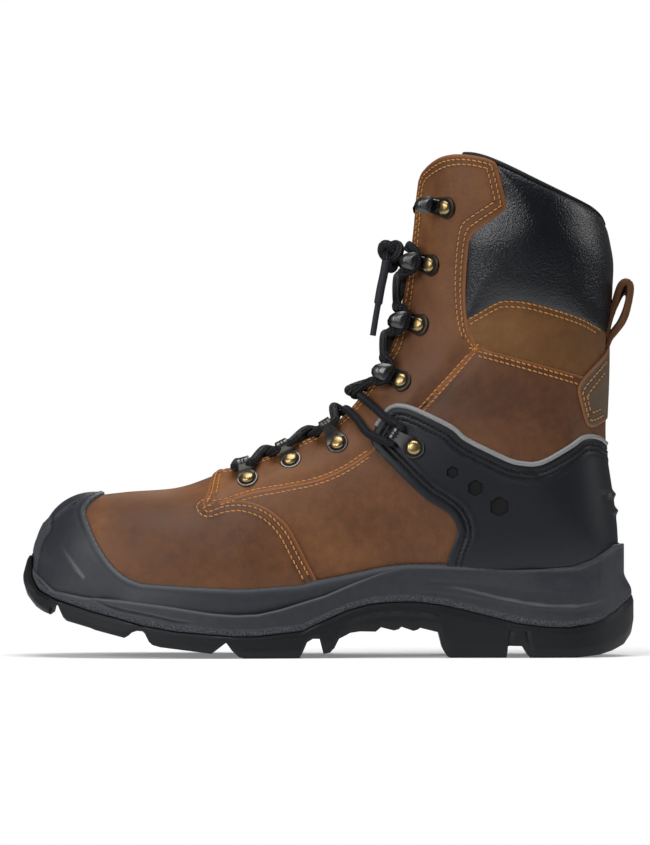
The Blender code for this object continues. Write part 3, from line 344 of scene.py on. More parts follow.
# fills an outline with points and triangles; rings become edges
def pattern(outline, spacing, insets, edgeStep, rings=()):
    loop = evenRun(np.concatenate([outline, outline[:1]]), edgeStep)[:-1]
    area = np.sum(loop[:, 0] * np.roll(loop[:, 1], -1) - loop[:, 1] * np.roll(loop[:, 0], -1))
    if area < 0:
        loop = loop[::-1]
    tree = pointTree(level(loop))
    extra = []
    closed = np.concatenate([loop[-2:], loop, loop[:2]])
    for n, distance in enumerate(insets):
        ring = movedSideways(closed, distance)[2:-2][:: 1 if n < 2 else 2]
        extra += [q for q in ring[inside(ring, loop)] if tree.find((q[0], q[1], 0.0))[2] > distance * 0.93]
    low, high = loop.min(axis=0), loop.max(axis=0)
    us = np.arange(low[0], high[0], spacing)
    vs = np.arange(low[1], high[1], spacing * 0.866)
    hexes = np.array([(u + spacing / 2 * (k % 2), v) for k, v in enumerate(vs) for u in us])
    hexes = hexes[inside(hexes, loop)]
    reach = (insets[-1] if insets else 0.0) + spacing * 0.55
    extra += [q for q in hexes if tree.find((q[0], q[1], 0.0))[2] > reach]
    points = [Vector((u, v)) for u, v in loop]
    edges = [(k, (k + 1) % len(loop)) for k in range(len(loop))]
    for ring in rings:
        first = len(points)
        points += [Vector((u, v)) for u, v in ring]
        edges += [(first + k, first + (k + 1) % len(ring)) for k in range(len(ring))]
    if rings:
        gap, _ = nearest(level(extra), level(np.concatenate(rings)))
        extra = [q for q, d in zip(extra, gap) if d > spacing * 0.55]
    points += [Vector((u, v)) for u, v in extra]
    verts, _, faces, *_ = geometry.delaunay_2d_cdt(points, edges, [], 1, 1e-5)
    return np.array([tuple(v) for v in verts]), faces, loop


def makePanel(name, outline, lift, back=False, spacing=2.2, insets=(0.35, 0.8, 1.5, 2.4), edgeStep=0.9, base=-0.4,
              wall=True, rings=()):
    # a panel on the last: lift(points, edge distance, place on the edge) gives its height
    uv, faces, loop = pattern(outline, spacing, insets, edgeStep, rings)
    pos, normal = placed(uv, back)
    edge = placed(loop, back)[0]
    distance, place = nearest(pos, edge)
    height = lift(pos, distance, loop[place])
    verts = list(pos + normal * height[:, None])
    faces = [tuple(f) for f in faces]
    seam = list(distance)
    if wall:
        onEdge = {}
        for k in np.nonzero(distance < 0.01)[0]:
            onEdge.setdefault(int(place[k]), int(k))
        ring = [onEdge[k] for k in sorted(onEdge)]
        onSeam = (np.abs(uv[:, 1]) < 0.01) | (np.abs(uv[:, 1]) > girth - 0.01)
        first = len(verts)
        verts += list(pos[ring] + normal[ring] * base)
        seam += [0.0] * len(ring)
        for k in range(len(ring)):
            m = (k + 1) % len(ring)
            if not (onSeam[ring[k]] and onSeam[ring[m]]):
                faces.append((ring[k], ring[m], first + m, first + k))
    piece = newMesh(name, verts, faces)
    attribute(piece, "edge", seam)
    return piece


def rounded(thickness, radius=1.0):  # height of a cut edge with a rounded corner
    return lambda d: thickness * (0.62 + 0.38 * dome(d / radius))


def seamDip(pos, lines, depth=0.28, width=0.9):  # soft troughs along stitch rows
    dip = np.zeros(len(pos))
    for line in lines:
        d, _ = nearest(pos, line)
        dip = np.maximum(dip, depth * bell(d, width))
    return dip


# Lines of the upper in the side view, read off the photo
lines = {
    "topline": [(420.5, 176.5), (424, 171.5), (434, 163.5), (446, 159.3), (462, 156.8), (478, 158.8), (500, 166.8),
        (541, 186), (582, 204.8), (594, 211.2), (602, 218.5), (606, 225.5), (609, 228.5), (640, 229.5)],
    "facingTip": [(222.5, 472.5), (215, 478.5), (211, 486), (208.5, 495), (204, 504), (205, 508.5), (211, 507.5)],
    "facingLow": [(211, 507.5), (224, 503.5), (254, 494), (288, 487.5), (318, 481.5), (345, 470), (372, 452.5),
        (418, 412), (447, 382), (470, 356), (479.5, 349)],
    "facingRear": [(479.5, 349), (470, 337), (466.4, 300), (468, 267.6), (470.5, 247), (473.6, 237), (482, 230),
        (503, 215.5), (506, 210), (501, 186), (496, 167.5), (492, 163.4), (483, 160), (471, 157.5), (461, 156.6),
        (451, 157), (441, 159.6), (432, 165.4), (425, 173)],
    "vampRear": [(206, 492), (212, 503), (223, 504), (241, 502), (251, 503), (266, 508), (277, 515), (288, 525),
        (297, 540), (307, 560), (317, 579), (322, 590)],
    "guardEdge": [(105, 495), (93, 497.5), (86.5, 503.5), (88, 515), (96, 535), (107.5, 554.6), (119.5, 568.7),
        (131, 577.4), (144, 582.2)],
    "rim": [(144, 582.2), (158, 583.3), (189, 585.5), (223, 587.2), (246, 587.6), (281, 585), (300, 583.5),
        (314, 580), (349, 573), (383, 566), (406, 563.5), (429, 563), (460, 563.8), (479, 565.6), (518, 566.8),
        (550, 566.4), (577, 564.6), (595, 557.5), (612, 547.4), (618, 543.6), (623, 542.4), (660, 542.4)],
    "quarterTop": [(640, 392), (608, 384), (580, 376.5), (530, 362.5), (500, 354.5), (479, 349)],
    "quarterLow": [(479, 349), (472, 353), (447, 382), (418, 412), (420, 417), (449, 434), (462, 445), (488, 458),
        (509, 467.5), (523, 470), (535, 470.5), (549, 466), (571, 452.5), (581, 445), (588, 443.5), (596, 446),
        (604, 451.5), (640, 466)],
    "ankleTop": [(640, 346), (607, 331.5), (574, 315), (532, 302), (507, 299), (495, 302), (469, 316.6), (464, 320)],
    "ankleLow": [(464, 320), (466, 331), (471, 341), (482, 351), (500, 358), (530, 366), (580, 380), (640, 396)],
    "padFront": [(640, 231.5), (609, 230.5), (606, 227.5), (602, 220.5), (594, 212.5), (582, 206.5), (541, 188),
        (500, 169), (495, 170.5), (498, 186), (501, 207), (480, 224), (468, 236), (464, 250), (462, 300),
        (462, 324)],
    "padLow": [(462, 324), (470, 323), (495, 308), (507, 305), (532, 308), (574, 321), (607, 337.5), (640, 352)],
    "counterTop": [(372, 442), (374, 436), (378, 428), (389, 412.5), (395, 408.5), (402, 407.5), (417.6, 411.5),
        (452, 428.5), (465, 439.5), (491, 452.5), (511, 461.5), (523, 464), (534, 464.5), (546, 460.5),
        (567.6, 447.5), (579, 439.2), (588, 437.3), (597, 439.6), (606, 445.5), (640, 460)],
    "counterFront": [(372, 442), (376, 450), (397, 472), (411, 486), (427, 500), (440, 508), (451.5, 517),
        (456.6, 528), (456.6, 534), (453, 544), (448, 558), (445, 573)],
    "patch": [(640, 331), (612, 331), (607, 336), (603, 352), (590, 367), (579.5, 379), (575, 388), (576, 398),
        (579, 411), (582, 422), (585, 427), (591, 428), (600, 422.5), (609, 416), (640, 408)],
    "throat": [(-57, 91, 4), (-54, 92.3, 9.5), (-48, 94.8, 11), (-18, 107.5, 11.5), (11, 127, 11.5),
        (30.5, 157.5, 12), (38.6, 190, 12.5), (44.6, 235, 14.5), (45.2, 244, 17)],
}
side = {name: smoothRun(fromPhoto(points), 0.8) for name, points in lines.items() if name != "throat"}


def sideRun(*names):  # side-view lines joined end to end
    return np.concatenate([side[names[0]], *[side[name][1:] for name in names[1:]]])


throat = np.array(lines["throat"])
throatS = seen(throat[:, :2])[:, 0]
throatRun = np.linspace(throatS[0], throatS[-1], 260)
throatEdge = np.stack([throatRun, -across(throatRun, np.interp(throatRun, throatS, throat[:, 2])) * girth], axis=1)

# Soft folds of the leather: side-view points in millimetres, height and half width
folds = [
    ([(-72, 82), (-62, 66), (-58, 50)], -0.7, 9),
    ([(-52, 72), (-44, 58), (-42, 44)], 0.6, 9),
    ([(-30, 84), (-18, 70), (-8, 56)], -0.5, 9),
    ([(12, 118), (30, 104), (44, 88)], -0.8, 8),
    ([(24, 134), (42, 128), (62, 128)], -0.9, 7),
    ([(30, 146), (50, 140), (70, 140)], 0.8, 7),
    ([(76, 140), (96, 128), (118, 122)], -0.6, 8),
    ([(-100, 70), (-86, 58), (-78, 46)], 0.5, 11),
]


def foldLift(pos):
    lift = np.zeros(len(pos))
    flatPos = level(pos[:, ::2])
    for points, height, width in folds:
        line = level(smoothRun(points, 3.0))
        d, place = nearest(flatPos, line)
        fade = np.sin(np.clip((place + 0.5) / len(line), 0, 1) * math.pi) ** 0.7
        lift += height * fade * bell(d, width)
    return lift * np.where(pos[:, 1] < 0, 1.0, 0.8)


# Stitch rows: side-view pixels of one row, or rows set in from an edge by millimetres
rowLines = {
    "facingLow1": [(214, 503.5), (224, 500.5), (254, 490.7), (288, 484.5), (318, 478), (345, 466.5), (369, 450)],
    "facingLow2": [(222, 507), (257, 497), (290, 490.5), (318, 484.5), (345, 473.5), (373, 455)],
    "facingUp1": [(418, 409.5), (445, 381), (471, 351.5)],
    "facingUp2": [(422.5, 412.5), (449, 384), (475.5, 353)],
    "star1": [(470, 344.4), (479, 353.4)], "star2": [(479, 344.4), (470, 353.4)],
    "star3": [(474.5, 342.6), (474.5, 355.2)], "star4": [(468.2, 349), (480.8, 349)],
    "quarterTop1": [(477.5, 352), (481, 353), (500, 358), (530, 366.2), (575, 379)],
    "quarterTop2": [(477.5, 356.6), (482, 357.8), (500, 362.6), (530, 371), (576, 384.5)],
    "vamp1": [(213, 501), (204, 502.5), (198.5, 508), (203, 515.5), (212, 517.5), (226, 514), (242, 512.5),
        (258, 516.5), (270, 524), (281, 536.5), (291, 555), (305, 581)],
    "vamp2": [(214, 507), (208, 507.5), (206, 510.5), (211, 513), (226, 508.5), (242, 507.2), (254, 508.5),
        (266, 513.5), (276, 521), (287, 534), (296, 551), (311, 579)],
    "ankleTop1": [(469, 320.5), (495, 305.6), (507, 302.6), (532, 305.6), (574, 318.4), (600, 331.5)],
    "ankleTop2": [(469.5, 325.8), (495, 310.8), (507, 307.8), (532, 310.6), (574, 323.5), (596, 334.5)],
}
throatSide = throatEdge[throatEdge[:, 0] > throatS[1] + 1][::-1]
tipEdge, lowEdge, rearEdge = (flat(side[name], outer) for name in ("facingTip", "facingLow", "facingRear"))
facingOutline = np.concatenate([tipEdge, lowEdge[1:], rearEdge[1:], throatSide])
facingSewn = np.concatenate([rearEdge, throatSide, tipEdge])
patchLine = flat(side["patch"], outer, True)
stitchRuns = {name: flat(smoothRun(fromPhoto(points), 0.8), outer) for name, points in rowLines.items()}


def setIn(line, loop, distance):  # a run set in from part of an outline
    line = evenRun(line, 0.8)
    runs = [movedSideways(line, d) for d in (distance, -distance)]
    run = max(runs, key=lambda r: inside(r, loop).sum())
    gap, _ = nearest(level(run), level(evenRun(np.concatenate([loop, loop[:1]]), 0.5)))
    return run[inside(run, loop) & (gap > distance * 0.9)]


stitchRuns["facingEdge1"] = setIn(facingSewn, facingOutline, 2.9)
stitchRuns["facingEdge2"] = setIn(facingSewn, facingOutline, 5.5)
print("lines ready")


def feed(tree, made, inputs):  # links or constants into a node's sockets
    for name, value in inputs.items():
        socket = made.inputs[name]
        if isinstance(value, bpy.types.NodeSocket):
            tree.links.new(value, socket)
        else:
            socket.default_value = value


def node(tree, kind, inputs, **settings):
    made = tree.nodes.new(kind)
    for name, value in settings.items():
        setattr(made, name, value)
    feed(tree, made, inputs)
    return made


def linear(r, g, b):  # sRGB 0-255 to scene colour
    return tuple((c / 255 / 12.92 if c <= 10 else ((c / 255 + 0.055) / 1.055) ** 2.4) for c in (r, g, b)) + (1.0,)


def stored(tree, name):  # a value kept on the mesh
    return node(tree, "ShaderNodeAttribute", {}, attribute_name=name).outputs["Fac"]


def startMaterial(name):
    made = bpy.data.materials.new(name)
    made.use_nodes = True
    tree = made.node_tree
    return made, tree, tree.nodes["Principled BSDF"], node(tree, "ShaderNodeTexCoord", {}).outputs["Object"]


def noise(tree, where, scale, detail=3.0, roughness=0.55):
    return node(tree, "ShaderNodeTexNoise",
                {"Vector": where, "Scale": scale, "Detail": detail, "Roughness": roughness}).outputs["Fac"]


def ramp(tree, value, low, high, start=0.0, end=1.0):
    return node(tree, "ShaderNodeMapRange",
                {"Value": value, "From Min": low, "From Max": high, "To Min": start, "To Max": end}).outputs["Result"]


def mix(tree, share, a, b, kind="MIX"):
    return node(tree, "ShaderNodeMix", {0: share, 6: a, 7: b}, data_type="RGBA", blend_type=kind).outputs[2]


def reckon(tree, kind, a, b):
    return node(tree, "ShaderNodeMath", {0: a, 1: b}, operation=kind).outputs[0]


def bump(tree, shader, height, distance, strength, before=None):
    made = node(tree, "ShaderNodeBump", {"Height": height, "Distance": distance, "Strength": strength})
    if before is not None:
        tree.links.new(before, made.inputs["Normal"])
    tree.links.new(made.outputs["Normal"], shader.inputs["Normal"])
    return made.outputs["Normal"]


def spotted(tree, where, colour, scale, spots):  # a colour with fine lighter and darker spots
    fine = ramp(tree, noise(tree, where, scale, 4.0), 0.3, 0.7, 1.0 - spots, 1.0 + spots)
    tint = node(tree, "ShaderNodeCombineColor", {0: fine, 1: fine, 2: fine}).outputs[0]
    return mix(tree, 1.0, linear(*colour), tint, "MULTIPLY")


def leatherMaterial(name, look):
    made, tree, shader, where = startMaterial(name)
    broad = ramp(tree, noise(tree, where, 26.0, 4.0), 0.3, 0.7)
    fine = ramp(tree, noise(tree, where, 210.0, 4.0, 0.65), 0.3, 0.7)
    share = stored(tree, "tone")
    for spots, strength in ((broad, 0.16), (fine, 0.12)):
        change = reckon(tree, "MULTIPLY", reckon(tree, "SUBTRACT", spots, 0.5), strength)
        share = reckon(tree, "ADD", share, change)
    colours = node(tree, "ShaderNodeValToRGB", {"Fac": share})
    for k, (place, colour) in enumerate(zip(stopPlaces, look["colours"])):
        stop = colours.color_ramp.elements[k] if k < 2 else colours.color_ramp.elements.new(place)
        stop.position, stop.color = place, linear(*colour)
    worn = ramp(tree, stored(tree, "edge"), 0.0, 1.8, look["edge"], 0.0)
    colour = mix(tree, worn, colours.outputs["Color"], linear(*look["worn"]))
    colour = mix(tree, reckon(tree, "MULTIPLY", stored(tree, "seam"), 0.8), colour, linear(*look["seam"]))
    rough = ramp(tree, fine, 0.0, 1.0, look["rough"] - 0.06, look["rough"] + 0.08)
    feed(tree, shader, {"Base Color": colour, "Roughness": rough, "Specular IOR Level": look["shine"]})
    grain = node(tree, "ShaderNodeTexVoronoi", {"Vector": where, "Scale": look["grain"]},
                 feature="SMOOTH_F1").outputs["Distance"]
    first = bump(tree, shader, noise(tree, where, 95.0, 5.0), 0.0012, 0.35)
    second = bump(tree, shader, noise(tree, where, 900.0, 2.0), 0.0003, 0.45, first)
    bump(tree, shader, grain, 0.0004, look["relief"], second)
    return made


def plainMaterial(name, colour, rough, shine, metal=0.0, spots=0.2, dots=900.0, relief=0.1, depth=0.0004):
    made, tree, shader, where = startMaterial(name)
    feed(tree, shader, {"Base Color": spotted(tree, where, colour, dots / 6, spots), "Roughness": rough,
                        "Specular IOR Level": shine, "Metallic": metal})
    bump(tree, shader, noise(tree, where, dots, 3.0, 0.6), depth, relief)
    return made


def mouldedMaterial(name, colour, light, dark, rough, dots, relief, shine):  # painted highlights and painted shade kept on the mesh lighten or darken it
    made, tree, shader, where = startMaterial(name)
    mark, stipple = stored(tree, "mark"), stored(tree, "stipple")
    spots = noise(tree, where, 1700.0, 2.0)
    shown = spotted(tree, where, colour, dots / 8, 0.12)
    pale = reckon(tree, "MULTIPLY", stipple, ramp(tree, spots, 0.45, 0.62, 0.0, 0.5))
    for share in (pale, ramp(tree, mark, 0.0, 1.0)):
        shown = mix(tree, share, shown, linear(*light))
    shown = mix(tree, ramp(tree, mark, 0.0, -1.0), shown, linear(*dark))
    feed(tree, shader, {"Base Color": shown, "Roughness": ramp(tree, stipple, 0.0, 1.0, rough, 0.75),
                        "Specular IOR Level": shine})
    first = bump(tree, shader, noise(tree, where, dots, 3.0, 0.6), 0.0004, relief)
    bump(tree, shader, reckon(tree, "MULTIPLY", spots, stipple), 0.0012, 0.8, first)
    return made


def laceMaterial(name, colour):  # a braid of two slanting runs
    made, tree, shader, where = startMaterial(name)
    turn = reckon(tree, "MULTIPLY", stored(tree, "turn"), math.pi * 8)
    wave = reckon(tree, "MULTIPLY", stored(tree, "run"), 3.6)
    one, two = (reckon(tree, "SINE", reckon(tree, kind, wave, turn), 0.0) for kind in ("ADD", "SUBTRACT"))
    weave = reckon(tree, "MULTIPLY", one, two)
    low, high = (linear(*[c * share for c in colour]) for share in (0.5, 2.8))
    feed(tree, shader, {"Base Color": mix(tree, ramp(tree, weave, -1.0, 1.0), low, high), "Roughness": 0.68,
                        "Specular IOR Level": 0.3})
    bump(tree, shader, weave, 0.0009, 0.9)
    return made


stopPlaces = (0.0, 1.0, 0.28, 0.52, 0.76)  # the ramp's own two stops first, then the ones added between
brownLook = {"colours": ((48, 28, 19), (168, 110, 58), (80, 49, 30), (106, 67, 39), (134, 87, 46)),
             "worn": (160, 98, 52), "seam": (34, 20, 12), "edge": 0.75,
             "rough": 0.56, "shine": 0.32, "grain": 850.0, "relief": 0.18}
ankleLook = {**brownLook, "colours": ((62, 39, 19), (154, 108, 58), (83, 54, 27), (104, 69, 35), (126, 86, 46))}
patchLook = {**brownLook, "colours": ((52, 42, 34), (140, 116, 92), (74, 60, 48), (96, 79, 63), (120, 99, 78))}
materials = {
    "leather": leatherMaterial("oiled leather", brownLook),
    "ankle": leatherMaterial("ankle leather", ankleLook),
    "patch": leatherMaterial("heel patch leather", patchLook),
    "collar": plainMaterial("collar leather", (8, 11, 19), 0.28, 0.6, spots=0.15, dots=950.0, relief=1.0,
                            depth=0.00032),
    # moulded rubber of the counter: the second colour is the painted highlight, the third the painted shade in its
    # grooves and recesses
    "counter": mouldedMaterial("moulded rubber", (17, 20, 27), (56, 60, 68), (3, 3, 4), 0.46, 2600.0, 0.25, 0.32),
    "piping": plainMaterial("reflective piping", (132, 132, 133), 0.45, 0.5, spots=0.06, relief=0.2),
    # foam midsole: the second colour is the painted highlight and the pale stipple, the third the painted shade
    "midsole": mouldedMaterial("foam midsole", (39, 42, 48), (108, 111, 117), (10, 11, 13), 0.47, 2200.0, 0.35, 0.4),
    "outsole": plainMaterial("tread rubber", (12, 14, 18), 0.5, 0.28, spots=0.15, dots=2000.0, relief=0.25),
    "lining": plainMaterial("lining", (18, 19, 22), 0.85, 0.2, dots=1800.0, relief=0.6),
    "binding": plainMaterial("binding", (20, 21, 25), 0.7, 0.3, dots=2600.0, relief=0.9),
    "thread": plainMaterial("thread", (192, 132, 70), 0.6, 0.3, dots=2500.0, relief=0.3),
    "lace": laceMaterial("braided lace", (19, 19, 22)),
}
metals = {"bronze": ("dark bronze", (58, 52, 44), 0.4), "gunmetal": ("gunmetal", (82, 82, 82), 0.3),
          "steel": ("steel", (104, 101, 97), 0.3), "brass": ("antique brass", (160, 138, 96), 0.3)}
for key, (name, colour, rough) in metals.items():
    materials[key] = plainMaterial(name, colour, rough, 0.5, metal=1.0, dots=1500.0)
print("materials ready")

settled = []


def settle(piece, material, slot, *nodes):  # material, body and the solids that a piece stands for
    piece.data.materials.clear()
    piece.data.materials.append(materials[material])
    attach(piece, "root")
    if nodes:
        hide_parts(*nodes)
    settled.append(piece)
    return piece


# Lighter and darker places of the leather, among them a painted sheen along the top of the vamp (the entry at -90,
# 86): side-view millimetres, radius along x and z, change of tone
tones = [
    (-117, 66, 7, 20, 0.13), (-108, 46, 12, 8, 0.10), (-90, 86, 34, 7, 0.26), (-46, 86, 18, 8, 0.05),
    (-60, 58, 26, 16, -0.08), (-70, 42, 34, 7, 0.02), (-8, 60, 26, 14, 0.06), (30, 70, 22, 18, -0.02),
    (4, 50, 20, 10, 0.10), (-20, 96, 30, 8, 0.06), (34, 110, 14, 12, -0.10), (52, 132, 16, 14, -0.12),
    (90, 130, 34, 14, -0.16), (118, 122, 18, 14, -0.10), (56, 190, 8, 40, 0.02), (52, 244, 16, 8, -0.04),
    (72, 236, 12, 14, 0.02), (46, 160, 10, 20, -0.06), (90, 168, 26, 8, 0.06), (124, 160, 14, 10, -0.04),
]


def toneOf(pos, start):
    tone = np.full(len(pos), start)
    for x, z, rx, rz, change in tones:
        tone += change * np.exp(-((pos[:, 0] - x) / rx) ** 2 - ((pos[:, 2] - z) / rz) ** 2)
    return tone


def dress(piece, seamLines, start):  # tone and stitch darkening of a leather piece
    pos = pointsOf(piece)
    attribute(piece, "tone", toneOf(pos, start))
    attribute(piece, "seam", seamDip(pos, seamLines, 1.0, 0.7))


sewnLift = 1.7  # stitch rows over the last
sewnRows = {}
for s in (outer, inner):
    sewnRows[s] = {}
    for name, run in stitchRuns.items():
        pos, normal = placed(run * (1, -s))
        sewnRows[s][name] = pos + normal * (sewnLift + foldLift(pos))[:, None]
allRows = [row for s in (outer, inner) for row in sewnRows[s].values()]

# Base of the upper, one wall, stepped in behind the collar
upper = {"wall": 2.6, "collarStep": 5.0, "spacing": 3.0, "tone": 0.44}
rimIn = side["rim"] - (0.0, 5.0)
rimFront = rimIn[(rimIn[:, 0] > -99) & (rimIn[:, 0] < 140)]
guardIn = np.array([(x - 7.0, z) for x, z in side["guardEdge"]])
topRun = flat(side["topline"], outer)
topRun = topRun[topRun[:, 1] > -girth + 0.01]
backTop = topRun[-1, 0]
heelLow = seen([(150.0, 52.0)])[0, 0]
toeTop = seen([(-118.0, 82.0)])[0, 0]
baseOutline = np.concatenate([throatEdge, topRun[topRun[:, 0] > 0], [(backTop, -girth), (heelLow, -girth)],
                              flat(rimFront[::-1], outer), flat(guardIn[::-1], outer),
                              [(toeTop, 0.0), (throatS[0], 0.0)]])


def collarDepth(pos):  # share of the step behind the pad
    loop = sideRun("padFront", "padLow")
    loop = loop[(loop[:, 0] < 150) & (loop[:, 1] < 246)]
    loop = np.concatenate([[(75.0, 300.0), (90.0, 250.0)], loop, [(200.0, 160.0), (200.0, 300.0)]])
    at = pos[:, ::2]
    edge = np.concatenate([side["padFront"][side["padFront"][:, 0] < 92], side["padLow"]])
    d, _ = nearest(level(at), level(edge[edge[:, 1] < 236]))
    return np.where(inside(at, loop), ease(d, 0.0, 14.0), 0.0)


def joined(name, pieces):
    verts, faces, edges = [], [], []
    for piece in pieces:
        first = len(verts)
        verts += [v.co / mm for v in piece.data.vertices]
        faces += [[i + first for i in f.vertices] for f in piece.data.polygons]
        if "edge" in piece.data.attributes:
            edges += [a.value for a in piece.data.attributes["edge"].data]
        bpy.data.objects.remove(piece)
    whole = newMesh(name, verts, faces)
    if len(edges) == len(verts):
        attribute(whole, "edge", edges)
    return whole


def twoHalves(name, outline, lift, **shape):  # a panel and its mirror image, welded at the middle line
    halves = [makePanel(name + " half", outline * (1, sign), lift, **shape) for sign in (1, -1)]
    return weld(joined(name, halves))


def baseLift(pos, d, place):
    return foldLift(pos) - upper["collarStep"] * collarDepth(pos)


base = twoHalves("upper_wall", baseOutline, baseLift, spacing=upper["spacing"], insets=(), edgeStep=1.6, wall=False)
base.data.attributes.remove(base.data.attributes["edge"])
attribute(base, "edge", np.full(len(base.data.vertices), 9.0))
dress(base, allRows, upper["tone"])
settle(base, "leather", "upper", "upper")
print("upper ready", len(base.data.polygons))


def leatherLift(thickness, feather, featherWidth, rows, corner):  # height over the last, thinner at a feathered edge
    shape = rounded(thickness)

    def lift(pos, d, place):
        height = shape(d)
        if feather is not None:
            gap, _ = nearest(pos, feather)
            height = height * ease(gap, 0.0, featherWidth) + 0.02
        height += corner * bell(pos[:, 0] + 53.5, 6.0) * ease(pos[:, 2], 82.0, 95.0)
        return height + foldLift(pos) - seamDip(pos, rows)
    return lift


# Leather panels: thickness and tone, and the width of an edge that thins out
panels = {"vamp": {"thick": 1.55, "tone": 0.40},
          "facing": {"thick": 1.7, "tone": 0.53, "feather": 9.0, "corner": 2.2},
          "quarter": {"thick": 1.95, "tone": 0.44, "feather": 7.0}, "ankle": {"thick": 1.2, "tone": 0.56},
          "patch": {"thick": 2.9, "tone": 0.50}}
vampTip = [(-57.5, 97.5), *fromPhoto([(218.0, 475.0), (217.0, 486.0), (219.0, 497.0)])]
vampLine = np.concatenate([vampTip, side["vampRear"][side["vampRear"][:, 0] > -55.0],
                           rimIn[(rimIn[:, 0] > -99) & (rimIn[:, 0] < -6)][::-1], guardIn[::-1]])
vampRows = [sewnRows[s][name] for s in (outer, inner) for name in ("vamp1", "vamp2")]


def leatherPanel(name, outline, look, rows, insets, nodes=(), feather=None, dark=allRows,
                 finish=("leather", "leather"), **shape):
    lift = leatherLift(look["thick"], feather, look.get("feather", 0.0), rows, look.get("corner", 0.0))
    piece = makePanel(name, outline, lift, insets=insets, **shape)
    dress(piece, dark, look["tone"])
    return settle(piece, *finish, *nodes)


leatherPanel("vamp_panel", bothSides(vampLine, False), panels["vamp"], vampRows, (0.35, 0.8, 1.5, 2.4, 3.2, 4.0, 5.0),
             ["vamp"], spacing=2.4)
for s, name in ((outer, "outer"), (inner, "inner")):
    lowLine = placed(flat(side["facingLow"][14:], outer) * (1, -s))[0]
    leatherPanel("facing_" + name + "_panel", facingOutline * (1, -s), panels["facing"], sewnRows[s].values(),
                 (0.35, 0.8, 1.5, 2.3, 3.0, 3.7, 4.6, 5.8, 6.6), ["facing_" + name], lowLine)
upLine = np.concatenate([placed(flat(side["facingLow"][-90:], outer) * (1, -s))[0] for s in (outer, inner)])
leatherPanel("shaft_quarter", bothSides(sideRun("quarterTop", "quarterLow"), True), panels["quarter"], allRows,
             (0.35, 0.8, 1.6, 2.4, 3.2, 4.0), feather=upLine, back=True)
leatherPanel("ankle_leather_panel", bothSides(sideRun("ankleTop", "ankleLow"), True), panels["ankle"], allRows,
             (0.35, 0.8, 1.6, 2.4, 3.2, 4.2), ["ankle_panel"], finish=("ankle", "ankle_leather"), back=True)
print("leather ready")


def padLift(pos, d, place):
    wave = 0.35 * np.sin(pos[:, 2] * 0.16 + 0.05 * pos[:, 0]) * ease(d, 6.0, 18.0)
    return 0.1 + 0.9 * np.sqrt(np.clip(d / 3.0, 0, 1)) + 3.6 * (1 - (1 - np.clip(d / 24.0, 0, 1)) ** 2) + wave


pad = makePanel("collar_cushion", bothSides(sideRun("padFront", "padLow"), True), padLift, back=True,
                insets=(0.5, 1.2, 2.2, 3.4), base=-4.0)
settle(pad, "collar", "collar", "collar_pad")


def onBoth(line, back=False, lift=0.0):  # a side-view line on the last, on the outer and the inner side
    return [raised(flat(line, s, back), lift, back) for s in (outer, inner)]


# Heel counter with two sewn grooves, hexagon recesses and ribs at the back
counter = {"thickness": 2.5, "grooves": (4.5, 7.1), "grooveDepth": 0.75, "grooveWidth": 0.62, "recess": 1.2,
           "hexagons": ((452.4, 472.7, 6.4), (475.0, 488.0, 8.3), (498.7, 506.5, 10.2)),
           "ribs": (82.0, 73.6), "ribHeight": 1.5}
hexagons = [(fromPhoto([(px, py)])[0], radius * photo["pixel"]) for px, py, radius in counter["hexagons"]]
counterSewn = np.concatenate(onBoth(np.concatenate([side["counterTop"][::-1], side["counterFront"][1:]]), True))
counterRim = rimIn[(rimIn[:, 0] > 57.0) & (rimIn[:, 0] < 142.0)]
counterLine = np.concatenate([side["counterTop"][::-1], side["counterFront"][1:], counterRim, [(145.9, 52.5)]])


def hexagonDistance(x, z, centre, radius):  # below zero inside
    dx, dz = np.abs(x - centre[0]), np.abs(z - centre[1])
    return np.maximum(dz * 0.866 + dx * 0.5, dx) - radius * 0.866


def counterLift(pos, d, place):
    gap, _ = nearest(pos, counterSewn)
    height = rounded(counter["thickness"], 1.6)(gap)
    for groove in counter["grooves"]:
        height -= counter["grooveDepth"] * bell(gap - groove, counter["grooveWidth"])
    height -= 0.35 * ease(gap, 9.0, 10.2)
    for centre, radius in hexagons:
        height -= counter["recess"] * ease(-hexagonDistance(pos[:, 0], pos[:, 2], centre, radius), 0.03, 0.4)
    away = np.abs(pos[:, 1])
    for k, z in enumerate(counter["ribs"]):
        reach = 26.0 - 5.0 * k
        atRib = bell(pos[:, 2] - z, 1.5) * ease(reach - away, 0.0, 9.0)
        height += counter["ribHeight"] * atRib * (pos[:, 0] > 100)
    below = np.interp(pos[:, 0], side["rim"][:, 0], side["rim"][:, 1]) - pos[:, 2]
    return height - 1.0 * ease(below, 0.5, 3.5)


hexRings = []
for centre, radius in hexagons:
    for size in (radius, radius - 0.5):
        corners = [(size * math.sin(a), size * math.cos(a)) for a in np.radians(np.arange(7) * 60)]
        ring = evenRun(np.array(corners) + centre, 0.8)[:-1]
        hexRings += [flat(ring, s, True) for s in (outer, inner)]
counterPiece = makePanel("counter_moulding", bothSides(counterLine, True), counterLift, back=True, spacing=1.15,
                         edgeStep=0.9, rings=hexRings,
                         insets=(0.4, 0.9, 1.6, 2.5, 3.3, 3.9, 4.5, 5.1, 5.8, 6.5, 7.1, 7.7, 8.6))
pos = pointsOf(counterPiece)
gap, _ = nearest(pos, counterSewn)
# Painted shade: darker along the sewn grooves and on the floors of the hexagon recesses.
shade = np.zeros(len(pos))
for groove in counter["grooves"]:
    shade -= 0.8 * bell(gap - groove - 0.3, 0.6)
for centre, radius in hexagons:
    shade -= hexagonDistance(pos[:, 0], pos[:, 2], centre, radius) < -0.3
attribute(counterPiece, "mark", np.clip(shade, -1, 1))
attribute(counterPiece, "stipple", np.zeros(len(pos)))
sharpen(counterPiece, 38.0)
settle(counterPiece, "counter", "counter", "heel_counter")


